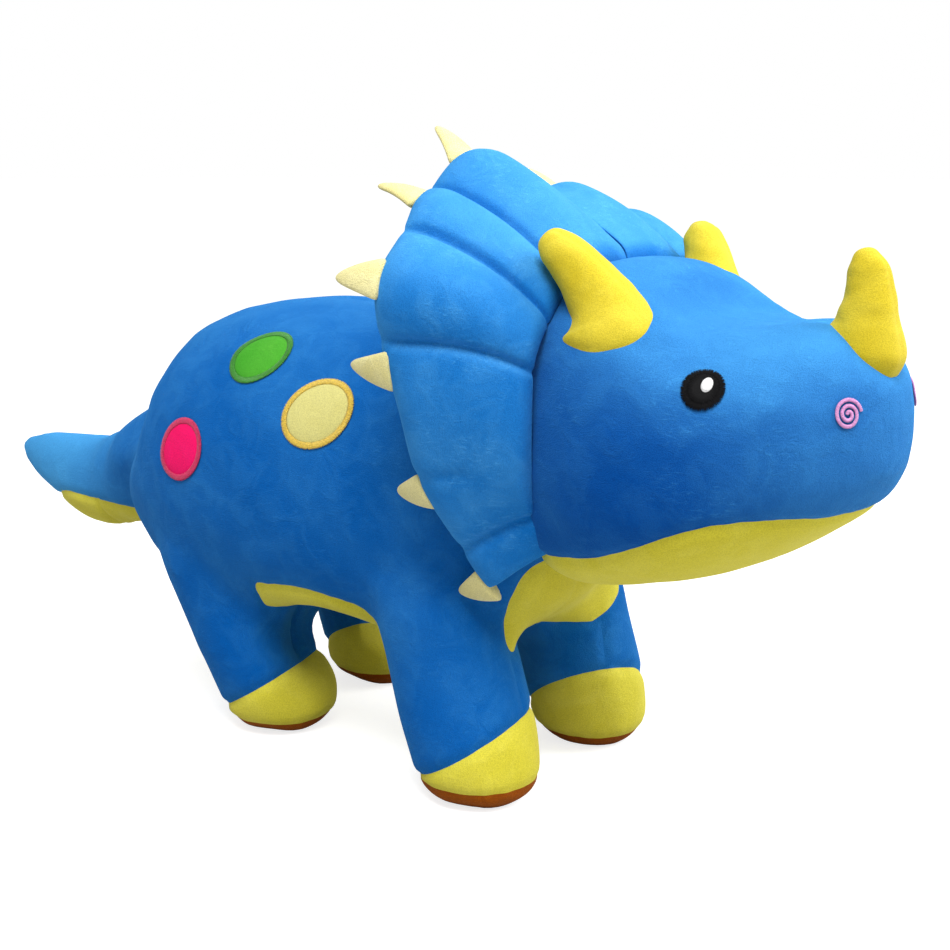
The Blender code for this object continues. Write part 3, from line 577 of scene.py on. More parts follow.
thread = {
    "black": threadMaterial("blackThread", (0.0018, 0.0017, 0.0024), 0.70, sheen=0.0, gloss=0.12),
    "white": threadMaterial("whiteThread", (0.80, 0.80, 0.80)),
    "lilac": threadMaterial("lilacThread", (0.60, 0.25, 0.52)),
    "gold": threadMaterial("goldThread", (0.72, 0.50, 0.06)),
    "leaf": threadMaterial("leafThread", (0.030, 0.24, 0.012)),
    "rose": threadMaterial("roseThread", (0.62, 0.010, 0.10)),
}

# body: torso, legs and tail as one stuffed skin
bodyCloth = {"voxel": 0.0042, "start": -0.0004, "pressure": 2.5, "stiffness": 20, "bending": 0.8, "frames": 14,
             "cap": 0.0020}


def ovalTube(name, rows, count=24):  # closed tube through ovals: y, centre z, half width, half height
    points = [(w * cos(2 * pi * k / count), y, z + h * sin(2 * pi * k / count))
              for y, z, w, h in rows for k in range(count)]
    faces = [(r * count + k, r * count + (k + 1) % count, (r + 1) * count + (k + 1) % count, (r + 1) * count + k)
             for r in range(len(rows) - 1) for k in range(count)]
    faces += [tuple(reversed(range(count))), tuple(range((len(rows) - 1) * count, len(rows) * count))]
    return turnedOut(meshFrom(name, points, faces))


bodyShape = {
    "swell": [  # centre of a soft swelling on both sides, its radius, how far out
        ((0.044, 0.118, 0.166), 0.068, -0.0215),
        ((0.038, 0.122, 0.084), 0.052, -0.0185),
        ((0.036, -0.032, 0.048), 0.048, -0.0125),
        ((0.000, 0.205, 0.070), 0.046, 0.0045),
        ((0.000, 0.160, 0.142), 0.032, -0.0030),
        ((0.030, -0.006, 0.052), 0.036, -0.0075),
        ((0.018, 0.005, 0.054), 0.036, -0.0110),
    ],
    "feet": 0.0024,  # how much fuller the feet are
    "tailRoot": [(0.160, 0.1075, 0.0325, 0.0360), (0.172, 0.1010, 0.0280, 0.0285), (0.184, 0.0968, 0.0255, 0.0265),
                 (0.198, 0.0948, 0.0240, 0.0255)],
    "hold": 0.004,  # how wide a strip each seam holds still while the cloth swells
}


def swollen(obj, table):
    co = getCo(obj.data)
    normal = getNormals(obj.data)
    side = np.stack([np.abs(co[:, 0]), co[:, 1], co[:, 2]], 1)
    amount = np.zeros(len(co))
    for centre, radius, out in table:
        far = np.linalg.norm(side - np.array(centre), axis=1) / radius
        amount += out * np.clip(1 - far**2, 0, 1) ** 2
    setCo(obj.data, co + normal * amount[:, None])


def footing(obj):  # fuller feet on slightly splayed legs
    co = getCo(obj.data)
    side = np.where(co[:, 0] > 0, 1, -1)
    moved = co.copy()
    for place in legs:
        cx, cy, r = legAxis(place, co, straight=True)
        dx, dy = np.abs(co[:, 0]) - cx, co[:, 1] - cy
        far = np.hypot(dx, dy)
        grow = bodyShape["feet"] * (1 - ramp(co[:, 2], 0.030, 0.070)) * ramp(far, 0.010, 0.020)
        grow /= np.maximum(far, 1e-6)
        mine = 1 - ramp(far - r, 0.008, 0.020)
        newX, newY, _ = legAxis(place, co)
        moved[:, 0] += side * mine * (dx * grow + newX - cx)
        moved[:, 1] += mine * (dy * grow + newY - cy)
    setCo(obj.data, moved)


def buildBody():
    tailRoot = ovalTube("tailRoot", bodyShape["tailRoot"])
    parts = ["torso_filling", "tail_filling", "belly_panel", "tail_back_panel", "tail_under_panel"]
    parts += [f"torso_side_{s}" for s, _ in sides]
    parts += [f"{e}_{k}_{s}" for e in legs for k in ("leg_filling", "inner_leg", "toe_cap", "sole")
              for s, _ in sides]
    body = outerSkin("bodySkin", parts, bodyCloth["voxel"], 3, [tailRoot])
    body = pushed(body, bodyCloth["start"])
    swollen(body, bodyShape["swell"])
    footing(body)
    co = getCo(body.data)
    held = np.maximum(band(bellyField(co), bodyShape["hold"]), band(tailField(co), bodyShape["hold"]))
    held = np.maximum(held, band(toeField(co), bodyShape["hold"]))
    held = np.maximum(held, 1 - ramp(co[:, 2], 0.006, 0.012))
    held = np.maximum(held, 1 - ramp(co[:, 1], -0.150, -0.140))
    held = np.maximum(held, band(co[:, 0], 0.003) * (co[:, 2] > 0.11))
    inflated(body, held, bodyCloth)
    body = subdivided(body)
    co = getCo(body.data)
    low = co[:, 2] < 0.004
    co[low, 2] = np.maximum((co[low, 2] - 0.0015) * 1.6, 0.0)
    setCo(body.data, co)
    return body


def bodyLabel(c):  # 0/1 sides, 2 belly, 3/4 tail, then inner legs, toe caps and soles by corner
    corner = (c[:, 0] > 0).astype(int) + 2 * (c[:, 1] > -0.05).astype(int)
    number = (c[:, 0] > 0).astype(int)
    number[bellyField(c) > 0] = 2
    number[tailStartField(c) > 0] = 3
    number[tailField(c) > 0] = 4
    inner, toe, sole = innerField(c) > 0, toeField(c) > 0, soleField(c) > 0
    number[inner] = 10 + corner[inner]
    number[toe] = 20 + corner[toe]
    number[sole] = 30 + corner[sole]
    return number


bodyFields = [bellyField, tailField, tailStartField, toeField, soleField, innerField, middleField]
bodyGroove = {"middleField": 0.45, "innerField": 0.5, "tailStartField": 0.0, "soleField": 0.5}
panels = cutIntoPanels(buildBody(), bodyFields, bodyGroove, seams["grooveWidth"], bodyLabel)
print("body cut into", len(panels), "panels")
tailBend = ("tail", (0, 0.158, 0.10), (0, 0.205, 0.10))
corners = [f"{e}_X_{s}" for e in ("front", "rear") for s, _ in sides]
plans = {0: ("torsoSideRight", "blue", "blue_plush", ["torso_side_right", "torso_filling"]),
         1: ("torsoSideLeft", "blue", "blue_plush", ["torso_side_left"]),
         2: ("bellyPanel", "yellow", "yellow_plush", ["belly_panel"]),
         3: ("tailBackPanel", "blue", "blue_plush", ["tail_back_panel", "tail_filling"]),
         4: ("tailUnderPanel", "yellow", "yellow_plush", ["tail_under_panel"])}
for k, corner in enumerate(corners):
    tag = corner.replace("_X_", " ").title().replace(" ", "")
    plans[10 + k] = ("innerLeg" + tag, "blue", "blue_plush",
                     [corner.replace("X", "inner_leg"), corner.replace("X", "leg_filling")])
    plans[20 + k] = ("toeCap" + tag, "yellow", "yellow_plush", [corner.replace("X", "toe_cap")])
    plans[30 + k] = ("sole" + tag, "sole", "brown_suede", [corner.replace("X", "sole")])
torsoPoints = []
for number, (points, faces) in sorted(panels.items()):
    name, look, slot, replaced = plans[int(number)]
    piece = meshFrom(name, points, faces)
    if number < 3:
        torsoPoints.append((points, faces))
    stuffed = number < 5
    finished(piece, paint[look], "torso", replaced,
             blendTo=tailBend if stuffed else None)


def skinTree(meshes):  # for laying marks on a skin
    points, faces = [], []
    for own, ownFaces in meshes:
        base = len(points)
        points += [Vector(p) for p in own]
        faces += [[base + i for i in f] for f in ownFaces]
    return BVHTree.FromPolygons(points, faces)


torsoTree = skinTree(torsoPoints)

# head
headCloth = {"voxel": 0.0042, "start": -0.0004, "pressure": 2.5, "stiffness": 20, "bending": 0.8, "frames": 14,
             "cap": 0.0020}
headShape = {
    "crown": 0.0052,  # lift of the forehead
    "swell": [((0.034, -0.166, 0.118), 0.045, 0.0050), ((0.020, -0.296, 0.178), 0.040, -0.0035),
              ((0.012, -0.228, 0.224), 0.050, -0.0095), ((0.016, -0.251, 0.208), 0.040, 0.0066),
              ((0.010, -0.272, 0.202), 0.030, 0.0042)],
}


def buildHead():
    head = outerSkin("headSkin", ["head_filling", "jaw_panel"] + [f"head_side_{s}" for s, _ in sides],
                     headCloth["voxel"], 3)
    head = pushed(head, headCloth["start"])
    co = getCo(head.data)
    co[:, 2] += headShape["crown"] * ramp(co[:, 2], 0.185, 0.228) * ramp(co[:, 1], -0.222, -0.192)
    setCo(head.data, co)
    swollen(head, headShape["swell"])
    co = getCo(head.data)
    held = np.maximum(band(jawField(co), bodyShape["hold"]), ramp(co[:, 1], -0.162, -0.156))
    inflated(head, held, headCloth)
    return subdivided(head)


def headLabel(c):
    number = (c[:, 0] > 0).astype(int)
    number[jawField(c) > 0] = 2
    return number


headPanels = cutIntoPanels(buildHead(), [jawField, middleField], {"middleField": 0.15}, seams["grooveWidth"],
                           headLabel)
headPlans = {0: ("headSideRight", "face", "blue_plush", ["head_side_right", "head_filling"]),
             1: ("headSideLeft", "face", "blue_plush", ["head_side_left"]),
             2: ("jawPanel", "yellow", "yellow_plush", ["jaw_panel"])}
headPoints = []
for number, (points, faces) in sorted(headPanels.items()):
    name, look, slot, replaced = headPlans[int(number)]
    headPoints.append((points, faces))
    finished(meshFrom(name, points, faces), paint[look], "head", replaced)
headTree = skinTree(headPoints)
print("head cut into", len(headPanels), "panels")

# frill
frillLook = {
    "rows": [  # sewn edge, rim
        ((-0.0020, -0.1700, 0.2350), (-0.0060, -0.1080, 0.2595)),
        ((0.0230, -0.1710, 0.2325), (0.0300, -0.1070, 0.2795)),
        ((0.0420, -0.1730, 0.2245), (0.0570, -0.1090, 0.2655)),
        ((0.0500, -0.1740, 0.2195), (0.0730, -0.1160, 0.2610)),
        ((0.0575, -0.1750, 0.2130), (0.0875, -0.1230, 0.2500)),
        ((0.0640, -0.1760, 0.2055), (0.1065, -0.1270, 0.2320)),
        ((0.0680, -0.1765, 0.1960), (0.1045, -0.1265, 0.2090)),
        ((0.0690, -0.1765, 0.1720), (0.0965, -0.1290, 0.1800)),
        ((0.0660, -0.1745, 0.1540), (0.0850, -0.1290, 0.1500)),
        ((0.0585, -0.1710, 0.1395), (0.0690, -0.1375, 0.1200)),
        ((0.0455, -0.1680, 0.1220), (0.0575, -0.1425, 0.1010)),
    ],
    "lines": (-9.0, -6.0, -4.0, -2.0, 0.0, 2.0, 4.0, 6.0, 9.0),
    "shortLine": (7.9, 0.55),
    "perRow": 10,
    "across": 20,
    "edge": 0.0026,
    "puff": 0.0060,
    "leftLean": (-0.006, 0.002, -0.019),  # how far the left half's rim hangs from the right one's
    "crease": 0.0013,
    "pressure": 4.0, "stiffness": 14, "bending": 0.4, "frames": 16, "cap": 0.0040,
}


def splineRow(rows, t):
    last = len(rows) - 1
    i = max(0, min(int(t), last - 1))
    f = t - i
    a, b, c, d = (np.array(rows[max(0, min(last, i + k))]) for k in (-1, 0, 1, 2))
    return 0.5 * (2 * b + (c - a) * f + (2 * a - 5 * b + 4 * c - d) * f**2 + (3 * b - a - 3 * c + d) * f**3)


def frillPoint(t, v):
    row = splineRow([(*a, *b) for a, b in frillLook["rows"]], abs(t))
    inner, outer = row[:3].copy(), row[3:].copy()
    if t < 0:  # the middle line leans to the right
        middle = frillLook["rows"][0]
        inner[0] -= 2 * middle[0][0] * max(0.0, 1 + t)
        outer[0] -= 2 * middle[1][0] * max(0.0, 1 + t)
    p = inner + (outer - inner) * v + np.array([0, -0.004, 0.004]) * sin(pi * v)
    if t > 0:  # the left half leans a little lower than the right one
        p = p + np.array(frillLook["leftLean"]) * v * min(1.0, t / 0.8) * max(0.0, 1 - t / 7.0)
    return np.array([p[0] * (1 if t > 0 else -1), p[1], p[2]])


def buildFrill():
    top = len(frillLook["rows"]) - 1
    ts = np.linspace(-top, top, 2 * top * frillLook["perRow"] + 1)
    vs = np.linspace(0, 1, frillLook["across"] + 1)
    grid = np.array([[frillPoint(t, v) for v in vs] for t in ts])
    du = np.gradient(grid, axis=0)
    dv = np.gradient(grid, axis=1)
    n = np.cross(du, dv)
    n /= np.linalg.norm(n, axis=2, keepdims=True) + 1e-12
    n *= np.where(n[:, :, 1:2] < 0, 1, -1)
    lines = np.array([-top, *frillLook["lines"], top], dtype=float)
    spot = np.clip(np.searchsorted(lines, ts, side="right") - 1, 0, len(lines) - 2)
    s = np.clip((ts - lines[spot]) / (lines[spot + 1] - lines[spot]), 0, 1)
    lobe = (4 * s * (1 - s)) ** 0.38 * np.minimum(1, 0.72 + 0.14 * (lines[spot + 1] - lines[spot]))
    rise = np.clip(vs / 0.10, 0, 1) ** 0.5 * np.clip((1 - vs) / 0.16, 0, 1) ** 0.5
    fuller = rise * (0.62 + 0.38 * vs)  # fuller towards the rim
    deep = frillLook["edge"] * rise[None, :] + frillLook["puff"] * lobe[:, None] * fuller[None, :]
    front = grid + n * deep[:, :, None]
    back = grid - n * (deep * 0.72)[:, :, None]
    wide, tall = len(ts), len(vs)
    points, index = [], {}
    for side, layer in ((0, front), (1, back)):
        for i in range(wide):
            for j in range(tall):
                shared = j in (0, tall - 1) or i in (0, wide - 1)
                if side == 1 and shared:
                    index[1, i, j] = index[0, i, j]
                    continue
                index[side, i, j] = len(points)
                points.append(grid[i, j] if shared else layer[i, j])
    faces = []
    for i in range(wide - 1):
        for j in range(tall - 1):
            for side in (0, 1):
                quad = [index[side, i, j], index[side, i + 1, j], index[side, i + 1, j + 1], index[side, i, j + 1]]
                faces.append(quad if side == 0 else quad[::-1])
    frill = turnedOut(meshFrom("frillSkin", points, faces))
    place = np.zeros((len(points), 2))  # t and v of every point
    for (side, i, j), k in index.items():
        place[k] = ts[i], vs[j]
    return frill, place, index, ts, vs


def lineDistance(place):  # distance in columns from the nearest quilting line
    t, v = place[:, 0], place[:, 1]
    d = np.min([np.abs(t - line) for line in frillLook["lines"]], axis=0)
    at, fromV = frillLook["shortLine"]
    return np.where(v > fromV, np.minimum(d, np.abs(np.abs(t) - at)), d)


frill, place, frillIndex, frillTs, frillVs = buildFrill()
quilt = lineDistance(place)
held = np.maximum(band(quilt, 0.09), (place[:, 1] < 0.02).astype(float))
held = np.maximum(held, (np.abs(place[:, 0]) > 9.95).astype(float))
inflated(frill, held, frillLook)
co = getCo(frill.data)
rim = {}
for i, t in enumerate(frillTs):
    rim[round(float(t), 3)] = (co[frillIndex[0, i, len(frillVs) - 1]], co[frillIndex[0, i, len(frillVs) - 5]])
pushed(frill, -frillLook["crease"] * band(quilt, 0.07))
flag = frill.data.attributes.new("frontSide", "FLOAT", "FACE")
flag.data.foreach_set("value", [1.0 - i % 2 for i in range(len(frill.data.polygons))])  # front and back in turn
frill = subdivided(frill)
flags = np.empty(len(frill.data.polygons))
frill.data.attributes["frontSide"].data.foreach_get("value", flags)
co = getCo(frill.data)
allFaces = [list(p.vertices) for p in frill.data.polygons]
for name, want, replaced in (("frillFrontPanel", True, ["frill_front_panel", "frill_padding"]),
                             ("frillBackPanel", False, ["frill_back_panel"])):
    own = [f for f, front in zip(allFaces, flags) if (front > 0.5) == want]
    used = sorted({v for f in own for v in f})
    at = {v: k for k, v in enumerate(used)}
    piece = meshFrom(name, [co[v] for v in used], [[at[v] for v in f] for f in own])
    finished(piece, paint["frill"], "head", replaced)
bpy.data.objects.remove(frill, do_unlink=True)
print("frill quilted")

# felt spikes
spikes = {"at": (1.15, 2.85, 5.0, 6.45, 8.15, 9.85),  # columns of the frill's rim
          "base": 0.0185, "tall": 0.0180, "thick": 0.0030, "sink": 0.0050, "curl": 0.0015,
          "upward": (0.9, 0.35, 0.0, 0.0, -0.1, 0.0)}


def rimAt(t):
    keys = np.array(sorted(rim))
    outer = np.array([rim[k][0] for k in keys])
    inner = np.array([rim[k][1] for k in keys])
    return (np.array([np.interp(t, keys, outer[:, k]) for k in range(3)]),
            np.array([np.interp(t, keys, inner[:, k]) for k in range(3)]))


def spikeMesh(name, t, upward):
    base, inner = rimAt(t)
    before, after = rimAt(t - 0.3)[0], rimAt(min(max(t + 0.3, -9.95), 9.95))[0]
    way = (Vector(base - inner).normalized() + Vector((0, 0, upward))).normalized()
    across = Vector(after - before)
    across = (across - way * across.dot(way)).normalized()
    face = across.cross(way)
    points, faces, ring, rows = [], [], 16, 9
    for r in range(rows):
        s = r / (rows - 1)
        half = spikes["base"] / 2 * (1 - s) ** 0.82 + 0.0012 * s
        deep = spikes["thick"] * (1 - s * 0.55)
        out = s * (spikes["tall"] + spikes["sink"]) - spikes["sink"]
        middle = Vector(base) + way * out + face * (spikes["curl"] * sin(pi * s))
        if r == rows - 1:
            half, deep = half * 0.75, deep * 0.6
        for k in range(ring):
            a = 2 * pi * k / ring
            points.append(middle + across * half * cos(a) + face * deep * sin(a))
    for r in range(rows - 1):
        for k in range(ring):
            n = (k + 1) % ring
            faces.append((r * ring + k, r * ring + n, (r + 1) * ring + n, (r + 1) * ring + k))
    faces += [tuple(reversed(range(ring))), tuple(range((rows - 1) * ring, rows * ring))]
    return subdivided(turnedOut(meshFrom(name, points, faces)))


for sideName, sign in sides:
    for k, t in enumerate(spikes["at"], 1):
        piece = spikeMesh(f"frillSpike{sideName.title()}{k}", sign * t, spikes["upward"][k - 1])
        finished(piece, paint["felt"], "head", [f"frill_spike_{sideName}_{k}"])

# horns
horns = {  # middle, half width and half depth from the base to the tip
    "browright": [((-0.0485, -0.1990, 0.1960), 0.0150, 0.0150), ((-0.0484, -0.1984, 0.2040), 0.0184, 0.0186),
                  ((-0.0482, -0.1980, 0.2100), 0.0198, 0.0196),
                  ((-0.0478, -0.1962, 0.2160), 0.0176, 0.0170), ((-0.0486, -0.1927, 0.2236), 0.0138, 0.0134),
                  ((-0.0507, -0.1859, 0.2330), 0.0110, 0.0106), ((-0.0531, -0.1774, 0.2416), 0.0090, 0.0086),
                  ((-0.0549, -0.1723, 0.2465), 0.0060, 0.0058)],
    "browleft": [((0.0354, -0.1925, 0.2030), 0.0190, 0.0190), ((0.0355, -0.1907, 0.2095), 0.0172, 0.0168),
                 ((0.0365, -0.1889, 0.2176), 0.0148, 0.0144), ((0.0398, -0.1857, 0.2266), 0.0122, 0.0118),
                 ((0.0439, -0.1812, 0.2361), 0.0103, 0.0098), ((0.0469, -0.1760, 0.2440), 0.0086, 0.0083),
                 ((0.0485, -0.1737, 0.2473), 0.0060, 0.0058)],
    "nose": [((0.0, -0.2735, 0.1950), 0.0105, 0.0115), ((0.0, -0.2781, 0.2065), 0.0146, 0.0168),
             ((0.0, -0.2798, 0.2185), 0.0116, 0.0122), ((0.0, -0.2800, 0.2295), 0.0088, 0.0091),
             ((0.0, -0.2788, 0.2375), 0.0073, 0.0075), ((0.0, -0.2777, 0.2419), 0.0052, 0.0052)],
    "ring": 36, "rows": 26, "wrinkle": 0.0005, "cap": 0.0032,
}


def hornMesh(name, stations):
    last = len(stations) - 1
    flat = [(*c, a, d) for c, a, d in stations]
    points, ring, rows = [], horns["ring"], horns["rows"]
    centres = [splineRow(flat, last * r / rows) for r in range(rows + 1)]
    for r, row in enumerate(centres):
        low, high = centres[max(0, r - 1)], centres[min(rows, r + 1)]
        axis = Vector(high[:3] - low[:3]).normalized()
        across = axis.cross(Vector((0, -1, 0))).normalized()
        across = across if across.x > 0 else -across
        front = across.cross(axis)
        for k in range(ring):
            a = 2 * pi * k / ring
            p = Vector(row[:3]) + across * row[3] * cos(a) + front * row[4] * sin(a)
            puff = noise.noise(Vector((p.x * 90, p.y * 90, p.z * 220))) * horns["wrinkle"] * 1.6
            seam = -0.0006 * band(np.array((a - pi / 2 + pi) % (2 * pi) - pi), 0.12)
            points.append(p + (p - Vector(row[:3])).normalized() * (puff + float(seam)))
    axis = Vector(centres[-1][:3] - centres[-2][:3]).normalized()
    for lift, share in ((0.0018, 0.80), (0.0029, 0.45)):
        base = len(points) - ring if lift == 0.0018 else len(points) - 2 * ring
        for k in range(ring):
            p = points[base + k]
            c = Vector(centres[-1][:3])
            points.append(c + (p - c) * share + axis * lift)
    points.append(Vector(centres[-1][:3]) + axis * horns["cap"])
    faces = []
    for r in range(rows + 2):
        for k in range(ring):
            n = (k + 1) % ring
            faces.append((r * ring + k, r * ring + n, (r + 1) * ring + n, (r + 1) * ring + k))
    faces += [((rows + 2) * ring + k, (rows + 2) * ring + (k + 1) % ring, len(points) - 1) for k in range(ring)]
    faces.append(tuple(reversed(range(ring))))
    return subdivided(turnedOut(meshFrom(name, points, faces)))


for sideName, sign in sides:
    piece = hornMesh("browHorn" + sideName.title(), horns["brow" + sideName])
    finished(piece, paint["horn"], "head",
             [f"brow_horn_{sideName}_cover", f"brow_horn_{sideName}_filling"])
finished(hornMesh("noseHorn", horns["nose"]), paint["horn"], "head",
         ["nose_horn_cover", "nose_horn_filling"])
print("spikes and horns made")

# marks laid on the skin, and rows of stitches
def frameAt(centre, out, turn):
    out = Vector(out).normalized()
    level = Vector((0, -1, 0))
    level = (level - out * level.dot(out)).normalized()
    upright = level.cross(out) if level.cross(out).z > 0 else out.cross(level)
    a = radians(turn)
    return Vector(centre), level * cos(a) + upright * sin(a), upright * cos(a) - level * sin(a), out


def laid(tree, place, u, v, lift):  # a point of a mark on the skin, and the skin's normal there
    centre, first, second, out = place
    start = centre + first * u + second * v + out * 0.03
    hit, normal, _, _ = tree.ray_cast(start, -out, 0.08)
    if hit is None:
        hit, normal, _, _ = tree.find_nearest(start - out * 0.03)
    return hit + normal * lift, normal


def discMesh(name, tree, place, sizes, puff, rings=14, count=56):
    points = [laid(tree, place, 0, 0, puff)[0]]
    for r in range(1, rings + 1):
        s = r / rings
        for k in range(count):
            a = 2 * pi * k / count
            lift = puff * (1 - s**5) + 0.0001 - 0.0016 * max(0, s - 0.93) / 0.07
            points.append(laid(tree, place, sizes[0] * s * cos(a), sizes[1] * s * sin(a), lift)[0])
    faces = [(0, 1 + k, 1 + (k + 1) % count) for k in range(count)]
    for r in range(rings - 1):
        for k in range(count):
            a, b = 1 + r * count + k, 1 + r * count + (k + 1) % count
            faces.append((a, a + count, b + count, b))
    made = meshFrom(name, points, faces)
    out = place[3]
    bm = bmesh.new()
    bm.from_mesh(made.data)
    bm.normal_update()
    for f in bm.faces:
        if f.normal.dot(out) < 0:
            f.normal_flip()
    bm.to_mesh(made.data)
    bm.free()
    return made


def stitchTree():  # stitches across a line: pitch, length and thickness of one stitch
    tree = bpy.data.node_groups.new("stitchRow", "GeometryNodeTree")
    tree.interface.new_socket("Geometry", in_out="INPUT", socket_type="NodeSocketGeometry")
    for name, value in (("Pitch", 0.0007), ("Length", 0.004), ("Thickness", 0.0004), ("Loose", 0.12)):
        socket = tree.interface.new_socket(name, in_out="INPUT", socket_type="NodeSocketFloat")
        socket.default_value = value
    tree.interface.new_socket("Thread", in_out="INPUT", socket_type="NodeSocketMaterial")
    tree.interface.new_socket("Seed", in_out="INPUT", socket_type="NodeSocketInt")
    tree.interface.new_socket("Geometry", in_out="OUTPUT", socket_type="NodeSocketGeometry")
    link = tree.links.new
    given = tree.nodes.new("NodeGroupInput")
    out = tree.nodes.new("NodeGroupOutput")
    curve = tree.nodes.new("GeometryNodeMeshToCurve")
    link(given.outputs["Geometry"], curve.inputs[0])
    even = tree.nodes.new("GeometryNodeResampleCurve")
    even.mode = "LENGTH"
    link(curve.outputs[0], even.inputs["Curve"])
    link(given.outputs["Pitch"], even.inputs["Length"])
    stitch = tree.nodes.new("GeometryNodeMeshUVSphere")
    stitch.inputs["Segments"].default_value = 8
    stitch.inputs["Rings"].default_value = 5
    stitch.inputs["Radius"].default_value = 0.5
    outward = tree.nodes.new("GeometryNodeInputNamedAttribute")
    outward.data_type = "FLOAT_VECTOR"
    outward.inputs["Name"].default_value = "outward"
    tangent = tree.nodes.new("GeometryNodeInputTangent")
    turnA = tree.nodes.new("FunctionNodeAlignRotationToVector")
    turnA.axis = "Z"
    link(outward.outputs["Attribute"], turnA.inputs["Vector"])
    turnB = tree.nodes.new("FunctionNodeAlignRotationToVector")
    turnB.axis, turnB.pivot_axis = "Y", "Z"
    link(turnA.outputs[0], turnB.inputs["Rotation"])
    link(tangent.outputs[0], turnB.inputs["Vector"])
    wobble = tree.nodes.new("FunctionNodeRandomValue")
    wobble.data_type = "FLOAT"
    scaleDown = tree.nodes.new("ShaderNodeMath")
    scaleDown.operation = "MULTIPLY"
    link(given.outputs["Loose"], scaleDown.inputs[0])
    scaleDown.inputs[1].default_value = -1.0
    link(scaleDown.outputs[0], wobble.inputs[2])
    link(given.outputs["Loose"], wobble.inputs[3])
    link(given.outputs["Seed"], wobble.inputs["Seed"])
    turnC = tree.nodes.new("FunctionNodeRotateRotation")
    turnC.rotation_space = "LOCAL"
    link(turnB.outputs[0], turnC.inputs[0])
    spin = tree.nodes.new("FunctionNodeAxisAngleToRotation")
    spin.inputs["Axis"].default_value = (0, 0, 1)
    link(wobble.outputs[1], spin.inputs["Angle"])
    link(spin.outputs[0], turnC.inputs[1])
    size = tree.nodes.new("ShaderNodeCombineXYZ")
    link(given.outputs["Length"], size.inputs[0])
    link(given.outputs["Thickness"], size.inputs[1])
    link(given.outputs["Thickness"], size.inputs[2])
    put = tree.nodes.new("GeometryNodeInstanceOnPoints")
    link(even.outputs[0], put.inputs["Points"])
    link(stitch.outputs["Mesh"], put.inputs["Instance"])
    link(turnC.outputs[0], put.inputs["Rotation"])
    link(size.outputs[0], put.inputs["Scale"])
    real = tree.nodes.new("GeometryNodeRealizeInstances")
    link(put.outputs[0], real.inputs[0])
    colour = tree.nodes.new("GeometryNodeSetMaterial")
    link(real.outputs[0], colour.inputs["Geometry"])
    link(given.outputs["Thread"], colour.inputs["Material"])
    link(colour.outputs[0], out.inputs[0])
    return tree


stitchRow = stitchTree()


def stitched(name, line, normals, closed, material, pitch, length, thickness, loose=0.12, seed=1):
    mesh = bpy.data.meshes.new(name)
    count = len(line)
    edges = [(k, (k + 1) % count) for k in range(count if closed else count - 1)]
    mesh.from_pydata([tuple(p) for p in line], edges, [])
    outward = mesh.attributes.new("outward", "FLOAT_VECTOR", "POINT")
    outward.data.foreach_set("vector", np.array([tuple(n) for n in normals]).ravel())
    obj = newObject(name, mesh)
    mod = obj.modifiers.new("stitches", "NODES")
    mod.node_group = stitchRow
    values = {"Pitch": pitch, "Length": length, "Thickness": thickness, "Loose": loose, "Thread": material,
              "Seed": seed}
    for item in stitchRow.interface.items_tree:
        if item.item_type == "SOCKET" and item.in_out == "INPUT" and item.name in values:
            mod[item.identifier] = values[item.name]
    made = plain(obj, name)
    if "outward" in made.data.attributes:
        made.data.attributes.remove(made.data.attributes["outward"])
    return made


def ovalLine(tree, place, sizes, lift, count=96):
    pairs = [laid(tree, place, sizes[0] * cos(2 * pi * k / count), sizes[1] * sin(2 * pi * k / count), lift)
             for k in range(count)]
    return [p for p, _ in pairs], [n for _, n in pairs]


spots = {
    "green": {"centre": (0.0641, -0.0106, 0.1891), "out": (0.72, -0.05, 0.70), "sizes": (0.0156, 0.0134),
              "turn": 29, "rim": "leaf"},
    "cream": {"centre": (0.0721, -0.0563, 0.1684), "out": (0.90, -0.15, 0.40), "sizes": (0.0176, 0.0142),
              "turn": 30, "rim": "gold"},
    "pink": {"centre": (0.0846, 0.0247, 0.1441), "out": (0.98, 0.08, 0.15), "sizes": (0.0158, 0.0130),
             "turn": 27, "rim": "rose"},
}
rimStitch = {"pitch": 0.00062, "length": 0.0034, "thick": 0.0009}
for sideName, sign in sides:
    for name, look in spots.items():
        cx, cy, cz = look["centre"]
        ox, oy, oz = look["out"]
        spotPlace = frameAt((sign * cx, cy, cz), (sign * ox, oy, oz), look["turn"])
        patch = discMesh(f"{name}Spot{sideName.title()}", torsoTree, spotPlace, look["sizes"], 0.0011)
        finished(patch, paint[name], "torso", [f"spot_{name}_{sideName}"])
        line, normals = ovalLine(torsoTree, spotPlace, look["sizes"], 0.0006)
        edge = stitched(f"{name}Rim{sideName.title()}", line, normals, True, thread[look["rim"]],
                        rimStitch["pitch"], rimStitch["length"], rimStitch["thick"])
        finished(edge, thread[look["rim"]], "torso")

